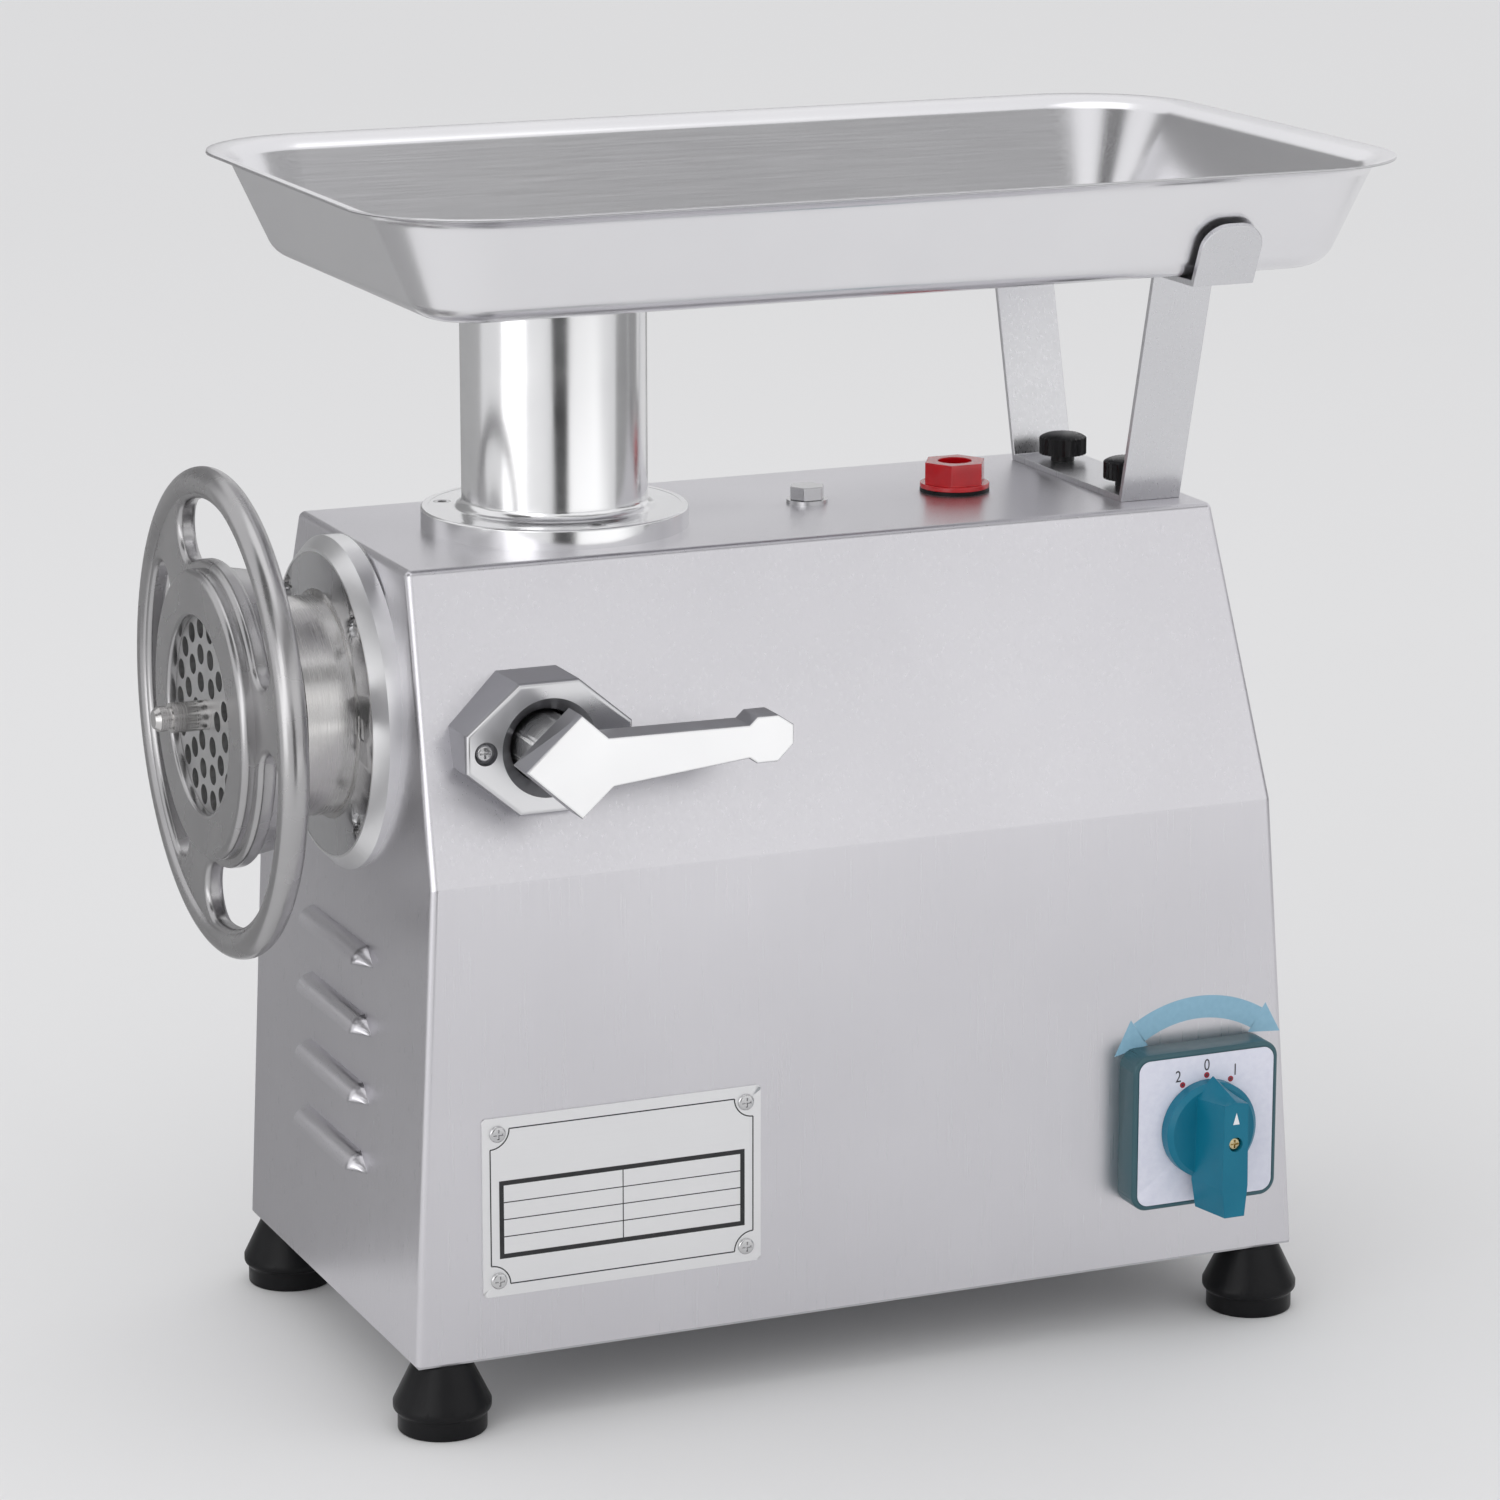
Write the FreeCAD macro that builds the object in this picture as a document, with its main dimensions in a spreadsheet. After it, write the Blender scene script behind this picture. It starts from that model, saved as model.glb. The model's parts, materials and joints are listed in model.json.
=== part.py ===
import FreeCAD, Part
import Sketcher
import math
import os

# Electric meat grinder, millimetres. The origin lies on the floor, midway between the feet.
# +Z is up, +X runs to the switch end, -Y is the side with the clamp lever and the switch.

# Driving sizes: lengths in millimetres, angles in degrees, counts of teeth, holes and turns.
SIZES = {
    # Clearances: loose parts, running fits, gear backlash, room round a sunk screw head;
    # overcut runs a cut past the face it opens
    "fit_gap": 0.3,
    "running_gap": 0.05,
    "backlash": 0.35,
    "overcut": 1.0,
    "screw_head_room": 1.1,
    # Folded sheet body, measured outside; its two ends lean outwards towards the floor
    "floor_gap": 30.0,
    "body_top": 340.0,
    "knee_height": 222.5,
    "top_half_width": 65.5,
    "base_half_width": 105.5,
    "left_top": 180.0,
    "left_base": 194.5,
    "right_top": 171.0,
    "right_base": 195.0,
    "sheet": 1.5,
    "bend_radius": 3.0,
    "base_sheet": 1.2,
    "base_inset": 1.0,
    # Pressed louvres in the left end
    "louvre_count": 4,
    "louvre_first_height": 90.0,
    "louvre_pitch": 28.4,
    "louvre_half_length": 42.0,
    "louvre_taper": 9.0,
    "louvre_rise": 7.5,
    "louvre_skin": 1.2,
    # Rubber feet and their bolts, set in from the ends and sides of the body
    "foot_left_inset": 14.0,
    "foot_right_inset": 14.5,
    "foot_side_inset": 10.5,
    "foot_radius": 19.6,
    "foot_base_radius": 17.8,
    "foot_top_radius": 11.5,
    "foot_lip_height": 9.0,
    "foot_lip": 3.0,
    "foot_bolt_radius": 4.0,
    "foot_nut_radius": 7.0,
    "foot_nut": 6.5,
    "foot_bolt_depth": 16.0,
    # Grinding head, on one axis along X
    "head_height": 274.75,
    "barrel_radius": 46.0,
    "barrel_neck_radius": 44.0,
    "barrel_neck": 24.0,
    "barrel_bore": 34.0,
    "barrel_back_wall": 14.0,
    "key_width": 8.0,
    "key_length": 14.0,
    "key_height": 8.0,
    "seat_wall": 8.0,
    "flange_radius": 67.0,
    "flange_bevel": 5.0,
    "flange_proud": 10.0,
    "flange_screw_circle": 56.5,
    "flange_screw_radius": 2.5,
    "flange_screw_head_radius": 3.6,
    "flange_screw_head": 2.4,
    "flange_screw_bore": 3.2,
    "flange_screw_length": 22.0,
    "thread_radius": 50.0,
    "cup_length": 28.0,
    "cup_radius": 58.0,
    "cup_back_radius": 55.5,
    "cup_lip": 4.0,
    "cup_opening": 39.5,
    "cup_edge": 3.0,
    "rim_radius": 92.0,
    "rim_section": 6.0,
    "rim_setback": 9.5,
    "web": 8.0,
    "spoke_count": 3,
    "spoke_turn": 50.0,
    "spoke_width": 26.0,
    "kidney_inner": 61.5,
    "kidney_outer": 85.5,
    "plate_radius": 41.0,
    "plate": 10.0,
    "plate_proud": 2.0,
    "plate_hole": 4.1,
    "plate_ring_first": 13.6,
    "plate_ring_pitch": 10.4,
    "plate_ring_step": 6,
    "plate_ring_count": 3,
    "plate_pin_radius": 2.0,
    "plate_pin_length": 13.0,
    "knife": 11.0,
    "knife_radius": 39.0,
    "knife_hub": 11.2,
    "knife_wing": 13.0,
    "auger_core": 13.0,
    "auger_root": 17.0,
    "auger_land": 3.5,
    "auger_flank": 8.0,
    "auger_pitch": 38.0,
    "auger_sink": 2.0,
    "flight_gap": 3.0,
    "knife_square": 16.0,
    "tang_square": 20.0,
    "tang_length": 26.0,
    "stud_radius": 6.0,
    "stud_reach": 18.0,
    "stud_depth": 30.0,
    "stud_nose": 2.0,
    "stud_nose_radius": 3.6,
    "stud_head": 5.0,
    "stud_head_radius": 5.1,
    "stud_groove": 2.0,
    "stud_groove_radius": 4.2,
    # Feed neck on the top
    "neck_setback": 87.0,
    "neck_radius": 37.5,
    "neck_bore": 29.0,
    "neck_top": 440.5,
    "neck_flange_radius": 54.0,
    "neck_flange": 8.0,
    "neck_foot_round": 4.0,
    "neck_edge": 0.9,
    "neck_spigot": 33.0,
    "spigot_gap": 1.2,
    "feed_hole": 27.0,
    "neck_screw_circle": 46.0,
    "neck_screw_radius": 3.5,
    "neck_screw_length": 20.0,
    "neck_screw_count": 3,
    # Clamp that locks the barrel: wedge block, spindle and lever
    "clamp_setback": 44.0,
    "clamp_proud": 17.3,
    "clamp_half_width": 34.5,
    "clamp_half_height": 26.2,
    "clamp_side": 7.7,
    "clamp_top": 12.5,
    "clamp_round": 2.0,
    "clamp_hole": 14.7,
    "clamp_dish": 5.0,
    "clamp_screw_spacing": 26.4,
    "clamp_screw_radius": 2.5,
    "clamp_screw_head_radius": 3.6,
    "clamp_screw_head": 2.4,
    "clamp_screw_bore": 3.6,
    "clamp_screw_length": 22.0,
    "spindle_head": 13.2,
    "spindle_radius": 8.0,
    "spindle_gap": 2.0,
    "spindle_clear": 2.6,
    "lever_gap": 20.0,
    "lever": 14.0,
    "lever_hub_half_width": 22.8,
    "lever_hub_half_height": 20.3,
    "lever_reach": 69.0,
    "lever_root_up": 10.6,
    "lever_root_down": 8.8,
    "lever_tip_up": 10.0,
    "lever_tip_down": 3.2,
    "lever_knob_length": 18.6,
    "lever_knob_up": 13.0,
    "lever_knob_down": 5.5,
    "lever_knob_chamfer": 6.5,
    "lever_knob_top_chamfer": 4.4,
    "lever_round": 0.8,
    # Gear train, pressure angle 25 degrees: motor pinion, counter gear, counter pinion, output gear
    "pressure_angle": 25.0,
    "fast_module": 2.5,
    "slow_module": 3.0,
    "pinion_teeth": 12,
    "counter_teeth": 35,
    "output_teeth": 34,
    "fast_face": 16.0,
    "slow_face": 24.0,
    "stage_gap": 2.0,
    # Gearbox casting, bearings and shafts
    "gearbox_front": 8.0,
    "gearbox_length": 104.0,
    "gearbox_wall": 6.0,
    "gearbox_front_wall": 20.0,
    "gear_room": 2.5,
    "cover": 8.0,
    "cover_boss": 12.0,
    "boss_wall": 4.0,
    "case_floor": 12.0,
    "case_foot": 8.0,
    "case_foot_reach": 20.0,
    "case_bolt_inset": 12.0,
    "case_bolt_radius": 3.5,
    "case_bolt_head_radius": 6.0,
    "case_bolt_head": 5.0,
    "cover_screw_radius": 2.0,
    "cover_screw_head_radius": 3.5,
    "cover_screw_head": 3.0,
    "cover_screw_length": 20.0,
    "cover_screw_low": 10.0,
    "output_shaft_radius": 15.0,
    "output_bearing_radius": 31.0,
    "output_bearing": 14.0,
    "output_nose_radius": 22.0,
    "output_nose": 38.0,
    "nose_gap": 2.0,
    "seal": 6.0,
    "seal_radius": 26.0,
    "counter_shaft_radius": 9.0,
    "counter_bearing_radius": 20.0,
    "counter_bearing": 10.0,
    "rotor_shaft_radius": 8.5,
    "rotor_bearing_radius": 20.0,
    "rotor_bearing": 10.0,
    "shaft_room": 1.0,
    # Motor under the head
    "stator_radius": 62.0,
    "stator_bore": 40.0,
    "stator_length": 112.0,
    "bell_length": 18.0,
    "bell_wall": 6.0,
    "air_gap": 0.5,
    "rotor_length": 100.0,
    "tie_radius": 2.0,
    "tie_head_radius": 4.0,
    "tie_head": 3.0,
    "tie_depth": 12.0,
    "fan_gap": 6.0,
    "fan_radius": 50.0,
    "fan_hub": 16.0,
    "fan_width": 14.0,
    "fan_disc": 2.0,
    "fan_blade": 3.0,
    "fan_blades": 8,
    # Run capacitor on the base plate
    "capacitor_radius": 20.0,
    "capacitor_height": 78.0,
    "capacitor_x": 60.0,
    "capacitor_gap": 4.0,
    "capacitor_cap": 6.0,
    "capacitor_step": 2.0,
    # Rotary switch on the front
    "switch_x": 145.5,
    "switch_height": 90.2,
    "bezel_half": 33.2,
    "bezel": 13.5,
    "bezel_corner": 7.0,
    "bezel_round": 1.5,
    "face_half": 31.0,
    "face_corner": 5.0,
    "face": 1.0,
    "face_hole": 8.0,
    "contact_half": 23.0,
    "contact_depth": 48.0,
    "switch_neck": 15.0,
    "switch_neck_gap": 1.0,
    "switch_spindle_radius": 3.5,
    "switch_spindle_depth": 24.0,
    "knob_radius": 20.5,
    "knob_base": 7.0,
    "knob_bevel": 2.0,
    "knob_sink": 2.0,
    "knob_height": 26.0,
    "knob_tip": 23.3,
    "knob_shoulder": 15.0,
    "knob_shoulder_half": 8.5,
    "knob_waist": 20.0,
    "knob_waist_half": 9.0,
    "knob_tail": 32.0,
    "knob_tail_half": 7.0,
    "ridge_tip": 17.8,
    "ridge_shoulder": 17.0,
    "ridge_shoulder_half": 5.3,
    "ridge_waist": 18.0,
    "ridge_waist_half": 5.8,
    "ridge_tail": 31.0,
    "ridge_tail_half": 4.5,
    "knob_screw_head_radius": 3.0,
    "knob_screw_head": 2.0,
    "knob_screw_sink": 1.2,
    "knob_screw_radius": 1.5,
    "knob_screw_length": 8.0,
    # Rating plate on the front
    "rating_x": 107.5,
    "rating_height": 92.0,
    "rating_half_width": 59.2,
    "rating_half_height": 36.7,
    "rating_sheet": 0.8,
    "rating_corner": 2.0,
    "rating_screw_inset": 6.5,
    "rating_screw_head_radius": 3.4,
    "rating_screw_head": 1.2,
    "rating_screw_radius": 1.6,
    "rating_screw_length": 8.0,
    # Loading tray
    "tray_left": 208.0,
    "tray_right": 236.0,
    "tray_half_width": 133.5,
    "tray_corner": 52.0,
    "tray_lip": 9.0,
    "tray_lip_rise": 2.0,
    "tray_depth": 44.5,
    "tray_flare": 15.0,
    "tray_round": 9.0,
    "tray_floor_inset": 6.8,
    "tray_heel_inset": 1.8,
    "tray_heel": 2.7,
    "tray_sheet": 1.0,
    "tray_spigot": 18.0,
    # Strap that carries the tray's far end
    "strap_x": 150.0,
    "strap_half_width": 13.5,
    "strap": 2.5,
    "strap_half_base": 51.0,
    "strap_half_top": 77.0,
    "strap_tab_foot": 119.0,
    "strap_tab_height": 25.0,
    "strap_tab_lean": 11.0,
    "strap_tab_round": 11.0,
    "thumb_spacing": 30.0,
    "thumb_radius": 10.0,
    "thumb_head": 9.0,
    "thumb_bevel": 1.0,
    "thumb_neck": 3.0,
    "thumb_neck_radius": 5.0,
    "thumb_shank_radius": 3.0,
    "thumb_shank": 12.0,
    # Filler bolt and oil plug on the top
    "bolt_x": 18.0,
    "bolt_radius": 4.0,
    "bolt_flats": 13.0,
    "bolt_head": 5.5,
    "bolt_length": 18.0,
    "washer_radius": 8.5,
    "washer": 1.6,
    "plug_x": 85.0,
    "plug_radius": 8.0,
    "plug_flats": 23.5,
    "plug_head": 11.0,
    "plug_collar": 14.5,
    "plug_collar_height": 2.0,
    "plug_recess": 7.0,
    "plug_recess_depth": 6.0,
    "plug_length": 14.0,
    "gasket": 1.5,
    "top_boss_wall": 4.0,
    # Cable gland in the right end
    "gland_y": 60.0,
    "gland_height": 84.0,
    "gland_radius": 8.0,
    "gland_bore": 4.0,
    "gland_hex_flats": 22.0,
    "gland_flange": 5.0,
    "gland_dome": 14.0,
    "gland_dome_radius": 10.0,
    "gland_tip_radius": 7.0,
    "gland_shoulder": 8.0,
    "gland_thread": 12.0,
    "gland_nut": 5.0,
}

doc = FreeCAD.newDocument("meat_grinder")
sheet = doc.addObject("Spreadsheet::Sheet", "sizes")
for row, (alias, number) in enumerate(SIZES.items(), start=1):
    sheet.set("A%d" % row, alias.replace("_", " "))
    sheet.set("B%d" % row, str(number))
    sheet.setAlias("B%d" % row, alias)
doc.recompute()


class Size:
    """A number together with the sheet formula that gives it."""

    def __init__(self, value, formula):
        self.value = value
        self.formula = formula

    def __add__(self, other):
        return join(self, "+", other)

    def __radd__(self, other):
        return join(other, "+", self)

    def __sub__(self, other):
        return join(self, "-", other)

    def __rsub__(self, other):
        return join(other, "-", self)

    def __mul__(self, other):
        return join(self, "*", other)

    def __rmul__(self, other):
        return join(other, "*", self)

    def __truediv__(self, other):
        return join(self, "/", other)

    def __rtruediv__(self, other):
        return join(other, "/", self)

    def __neg__(self):
        return join(0, "-", self)


class Sizes:
    """Gives each cell of the sheet by its alias."""

    def __getattr__(self, alias):
        return Size(float(SIZES[alias]), "sizes." + alias)


OPERATIONS = {
    "+": lambda a, b: a + b,
    "-": lambda a, b: a - b,
    "*": lambda a, b: a * b,
    "/": lambda a, b: a / b,
}


def as_size(number):
    """Any plain number as a Size."""
    if isinstance(number, Size):
        return number
    return Size(float(number), "(%r)" % float(number))


def join(first, sign, second):
    """Two sizes joined by one arithmetic sign."""
    a = as_size(first)
    b = as_size(second)
    return Size(OPERATIONS[sign](a.value, b.value), "(%s %s %s)" % (a.formula, sign, b.formula))


def sine(angle):
    """Sine of an angle in degrees."""
    angle = as_size(angle)
    return Size(math.sin(math.radians(angle.value)), "sin(%s)" % angle.formula)


def cosine(angle):
    """Cosine of an angle in degrees."""
    angle = as_size(angle)
    return Size(math.cos(math.radians(angle.value)), "cos(%s)" % angle.formula)


def root(number):
    """Square root."""
    number = as_size(number)
    return Size(math.sqrt(number.value), "sqrt(%s)" % number.formula)


def polar(radius, angle):
    """Point at a radius and an angle in degrees."""
    return radius * cosine(angle), radius * sine(angle)


def origin_part(body, role):
    """Plane or axis of a body's own origin."""
    for feature in body.Origin.OriginFeatures:
        if feature.Role == role:
            return feature
    raise ValueError(role)


def bind(item, path, size):
    """Ties a property to the sheet."""
    item.setExpression(path, as_size(size).formula)


def set_place(item, at, axis=None, angle=0):
    """Puts an object at a bound place, turned about an axis by a bound angle."""
    if axis is not None:
        item.Placement = FreeCAD.Placement(
            FreeCAD.Vector(), FreeCAD.Rotation(FreeCAD.Vector(*axis), as_size(angle).value)
        )
        bind(item, "Placement.Rotation.Angle", angle)
    for letter, size in zip("xyz", at):
        bind(item, "Placement.Base." + letter, size)


def add_outline(sketch, corners):
    """Closed outline. A corner (u, v, side, cu, cv) ends an arc about (cu, cv), bulging left for side 1."""
    corners = [tuple(as_size(number) for number in corner) for corner in corners]
    first = sketch.GeometryCount
    count = len(corners)
    for index, corner in enumerate(corners):
        following = corners[(index + 1) % count]
        start = FreeCAD.Vector(corner[0].value, corner[1].value, 0)
        end = FreeCAD.Vector(following[0].value, following[1].value, 0)
        if len(following) == 5:
            chord = end - start
            centre = FreeCAD.Vector(following[3].value, following[4].value, 0)
            outward = FreeCAD.Vector(-chord.y, chord.x, 0).normalize() * following[2].value
            middle = centre + outward * (start - centre).Length
            ends = (end, start) if following[2].value > 0 else (start, end)
            sketch.addGeometry(Part.Arc(ends[0], middle, ends[1]))
        else:
            sketch.addGeometry(Part.LineSegment(start, end))
    starts = []
    for index in range(count):
        edge = sketch.Geometry[first + index]
        corner = FreeCAD.Vector(corners[index][0].value, corners[index][1].value, 0)
        starts.append(1 if (edge.StartPoint - corner).Length < (edge.EndPoint - corner).Length else 2)
    ties = []
    for index, corner in enumerate(corners):
        edge = first + index
        after = (index + 1) % count
        following = corners[after]
        ends = (edge, 3 - starts[index], first + after, starts[after])
        ties.append((Sketcher.Constraint("Coincident", *ends), None))
        ties.append(point_tie("DistanceX", edge, starts[index], corner[0]))
        ties.append(point_tie("DistanceY", edge, starts[index], corner[1]))
        if len(following) == 5:
            steep = abs((following[1] - corner[1]).value) > abs((following[0] - corner[0]).value)
            kind, size = ("DistanceX", following[3]) if steep else ("DistanceY", following[4])
            ties.append(point_tie(kind, edge, 3, size))
    add_ties(sketch, ties)


def point_tie(kind, edge, point, size):
    """Constraint that holds one coordinate of a point, with the size that sets it."""
    return Sketcher.Constraint(kind, -1, 1, edge, point, size.value), size


def add_ties(sketch, ties):
    """Adds constraints in one go and binds those that carry a size."""
    numbers = sketch.addConstraint([constraint for constraint, size in ties])
    for number, (constraint, size) in zip(numbers, ties):
        if size is not None:
            bind(sketch, "Constraints[%d]" % number, size)


def add_circle(sketch, centre, radius):
    """Circle with a bound centre and radius."""
    u, v, radius = as_size(centre[0]), as_size(centre[1]), as_size(radius)
    middle = FreeCAD.Vector(u.value, v.value, 0)
    ring = sketch.addGeometry(Part.Circle(middle, FreeCAD.Vector(0, 0, 1), radius.value))
    ties = [point_tie("DistanceX", ring, 3, u), point_tie("DistanceY", ring, 3, v)]
    ties.append((Sketcher.Constraint("Radius", ring, radius.value), radius))
    add_ties(sketch, ties)


def new_sketch(body, plane, offset=0):
    """Sketch on one of the body's own planes, lifted along the plane's normal."""
    sketch = body.newObject("Sketcher::SketchObject", body.Name + "_sketch")
    sketch.AttachmentSupport = [(origin_part(body, plane + "_Plane"), "")]
    sketch.MapMode = "FlatFace"
    bind(sketch, "AttachmentOffset.Base.z", offset)
    return sketch


def draw(sketch, outlines=(), circles=()):
    """Fills a sketch with outlines and circles."""
    for corners in outlines:
        add_outline(sketch, corners)
    for centre, radius in circles:
        add_circle(sketch, centre, radius)


def new_body(name):
    """Empty body with a label of its own."""
    body = doc.addObject("PartDesign::Body", name)
    body.Label = name
    return body


def add_pad(body, plane, start, end, outlines=(), circles=()):
    """Pad between two coordinates along the plane's axis. The XZ plane faces -Y."""
    start, end = as_size(start), as_size(end)
    sketch = new_sketch(body, plane, -end if plane == "XZ" else start)
    draw(sketch, outlines, circles)
    pad = body.newObject("PartDesign::Pad", body.Name + "_pad")
    pad.Profile = sketch
    bind(pad, "Length", end - start)
    body.Tip = pad
    return pad


def add_turn(body, axis, corners=None, circles=(), angle=360):
    """Turned feature. Corners are (along, out) for the X and Y axes and (out, up) for Z."""
    sketch = new_sketch(body, "YZ" if axis == "Y" else "XZ")
    draw(sketch, [corners] if corners else [], circles)
    turned = body.newObject("PartDesign::Revolution", body.Name + "_turn")
    turned.Profile = sketch
    turned.ReferenceAxis = (origin_part(body, axis + "_Axis"), [""])
    bind(turned, "Angle", angle)
    body.Tip = turned
    return turned


def slab(name, plane, start, end, outlines=(), circles=(), at=(0, 0, 0)):
    """Body of one pad."""
    body = new_body(name)
    add_pad(body, plane, start, end, outlines, circles)
    set_place(body, at)
    return body


def turn(name, axis, corners, at=(0, 0, 0), angle=360):
    """Body of one turned profile."""
    body = new_body(name)
    add_turn(body, axis, corners, angle=angle)
    set_place(body, at)
    return body


def rod(name, axis, start, end, radius, at=(0, 0, 0)):
    """Plain round bar between two coordinates along its axis."""
    return turn(name, axis, bar(axis, start, end, 0, radius), at)


def tube(name, axis, start, end, inner, outer, at=(0, 0, 0)):
    """Plain ring between two coordinates along its axis."""
    return turn(name, axis, bar(axis, start, end, inner, outer), at)


def bar(axis, start, end, inner, outer):
    """Profile of a plain bar or ring."""
    if axis == "Z":
        return [(inner, start), (outer, start), (outer, end), (inner, end)]
    return [(start, inner), (end, inner), (end, outer), (start, outer)]


def fuse(name, items):
    """Several solids as one."""
    joined = doc.addObject("Part::MultiFuse", name)
    joined.Shapes = items
    joined.Refine = True
    joined.Label = name
    return joined


def cut(name, base, tools):
    """A solid less one or more tools."""
    tool = tools[0] if len(tools) == 1 else fuse(name + "_tools", tools)
    result = doc.addObject("Part::Cut", name)
    result.Base = base
    result.Tool = tool
    result.Refine = True
    result.Label = name
    return result


def common(name, first, second):
    """What two solids share."""
    result = doc.addObject("Part::Common", name)
    result.Base = first
    result.Tool = second
    result.Label = name
    return result


def copies(name, source, places):
    """Separate solids of one shape at several bound places."""
    links = []
    for at in places:
        link = doc.addObject("App::Link", name + "_copy")
        link.LinkedObject = source
        set_place(link, at)
        links.append(link)
    group = doc.addObject("Part::Compound", name)
    group.Links = links
    group.Label = name
    return group


def round_edges(name, base, radius, chosen):
    """Fillets the edges that a test picks."""
    doc.recompute()
    result = doc.addObject("Part::Fillet", name)
    result.Base = base
    numbers = [number for number, edge in enumerate(base.Shape.Edges, start=1) if chosen(edge)]
    result.Edges = [(number, radius.value, radius.value) for number in numbers]
    result.Label = name
    return result


def rounded_box(half_u, half_v, corner, centre=(0, 0)):
    """Corners of a rectangle with round corners, for an outline."""
    u, v = centre
    right, left = u + half_u, u - half_u
    high, low = v + half_v, v - half_v
    return [
        (right - corner, low),
        (right, low + corner, -1, right - corner, low + corner),
        (right, high - corner),
        (right - corner, high, -1, right - corner, high - corner),
        (left + corner, high),
        (left, high - corner, -1, left + corner, high - corner),
        (left, low + corner),
        (left + corner, low, -1, left + corner, low + corner),
    ]


def box_corners(low_u, low_v, high_u, high_v):
    """Corners of a plain rectangle."""
    return [(low_u, low_v), (high_u, low_v), (high_u, high_v), (low_u, high_v)]


def hexagon(flats, centre=(0, 0)):
    """Corners of a hexagon across its flats."""
    corner = flats / (2 * cosine(30))
    places = [polar(corner, 60 * index) for index in range(6)]
    return [(centre[0] + u, centre[1] + v) for u, v in places]


d = Sizes()
pieces = []

# An edge this close to a plane lies on it
TOUCH = 0.01


def keep(item):
    """Counts an object among the pieces that are written out."""
    pieces.append(item)
    return item


# Places worked out from the sizes
body_height = d.body_top - d.floor_gap
slope = (d.base_half_width - d.top_half_width) / (d.body_top - d.knee_height)
slope_gap = d.sheet * root(1 + slope * slope)
left_lean = (d.left_base - d.left_top) / body_height
right_lean = (d.right_base - d.right_top) / body_height
left_at_axis = -(d.left_top + left_lean * (d.body_top - d.head_height))
inner_top = d.body_top - d.sheet
front = -d.base_half_width
neck_x = d.neck_setback - d.left_top
clamp_x = d.clamp_setback - d.left_top
clamp_face = d.top_half_width + slope * (d.body_top - d.head_height) + d.clamp_proud
lever_back = clamp_face + d.lever_gap
flange_front = left_at_axis - d.flange_proud
cup_back = flange_front - d.barrel_neck
cup_front = cup_back - d.cup_length
plate_front = cup_front + d.cup_lip
plate_back = plate_front + d.plate
knife_back = plate_back + d.knife
mouth = plate_front + d.plate_proud
nose_front = d.gearbox_front - d.output_nose
barrel_back = nose_front - d.nose_gap
auger_back = barrel_back - d.barrel_back_wall
sleeve_radius = d.barrel_radius + d.seat_wall
fast_centres = d.fast_module * (d.pinion_teeth + d.counter_teeth) / 2
slow_centres = d.slow_module * (d.pinion_teeth + d.output_teeth) / 2
counter_height = d.head_height - slow_centres
motor_height = counter_height - fast_centres
gear_room_radius = d.slow_module * (d.output_teeth / 2 + 1) + d.gear_room
gearbox_radius = gear_room_radius + d.gearbox_wall
gearbox_back = d.gearbox_front + d.gearbox_length
gearbox_inside = d.gearbox_front + d.gearbox_front_wall
base_top = d.floor_gap
base_under = d.floor_gap - d.base_sheet
head_axis = (0, 0, d.head_height)
case_bolt_y = gearbox_radius + d.case_foot_reach / 2
case_bolt_places = []
for bolt_place in (d.gearbox_front + d.case_bolt_inset, gearbox_back - d.case_bolt_inset):
    case_bolt_places.append((bolt_place, -case_bolt_y, 0))
    case_bolt_places.append((bolt_place, case_bolt_y, 0))


# Folded housing

def end_lines(drop, inset):
    """Front view of the body between its leaning ends, drawn down past the bottom by drop."""
    top = d.body_top - inset
    bottom = d.floor_gap - drop
    left_inset = inset * root(1 + left_lean * left_lean)
    right_inset = inset * root(1 + right_lean * right_lean)
    return [
        (left_inset - d.left_top - left_lean * (d.body_top - bottom), bottom),
        (right_lean * (d.body_top - bottom) + d.right_top - right_inset, bottom),
        (right_lean * (d.body_top - top) + d.right_top - right_inset, top),
        (left_inset - d.left_top - left_lean * (d.body_top - top), top),
    ]


def side_lines(drop, inset, slope_inset):
    """End view of the body, inset by the sheet for the hollow."""
    top = d.body_top - inset
    knee = d.knee_height - (slope_inset - inset) / slope
    half_top = d.top_half_width + slope * inset - slope_inset
    half_base = d.base_half_width - inset
    bottom = d.floor_gap - drop
    right_side = [(half_base, bottom), (half_base, knee), (half_top, top)]
    return right_side + [(-u, v) for u, v in reversed(right_side)]


def body_solid(name, drop, inset, slope_inset):
    """Solid between the body's panels."""
    reach = 2 * d.left_base
    across = slab(name + "_ends", "XZ", -reach, reach, [end_lines(drop, inset)])
    along = slab(name + "_sides", "YZ", -reach, reach, [side_lines(drop, inset, slope_inset)])
    return common(name, across, along)


def above_bottom(edge):
    """True for an edge that doesn't lie on the open underside."""
    return edge.BoundBox.ZMax > d.floor_gap.value + TOUCH


envelope = round_edges(
    "body_envelope", body_solid("body_block", 0, as_size(0), as_size(0)), d.bend_radius, above_bottom
)
hollow = body_solid("body_hollow", d.overcut, d.sheet, slope_gap)


def louvre_profile(shrink):
    """Half outline of one louvre along Y."""
    half = d.louvre_half_length - shrink
    return [
        (-half, 0),
        (half, 0),
        (half - d.louvre_taper, d.louvre_rise - shrink),
        (d.louvre_taper - half, d.louvre_rise - shrink),
    ]


def louvre(name, height, shrink, angle, start):
    """Turned hood on the left end, from the start angle, its axis in the middle of the sheet."""
    body = new_body(name)
    add_turn(body, "Y", louvre_profile(shrink), angle=angle)
    face = -(d.left_top + left_lean * (d.body_top - height)) + d.sheet / 2
    set_place(body, (face, 0, height), (0, 1, 0), left_lean * 180 / math.pi + start)
    return body


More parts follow.
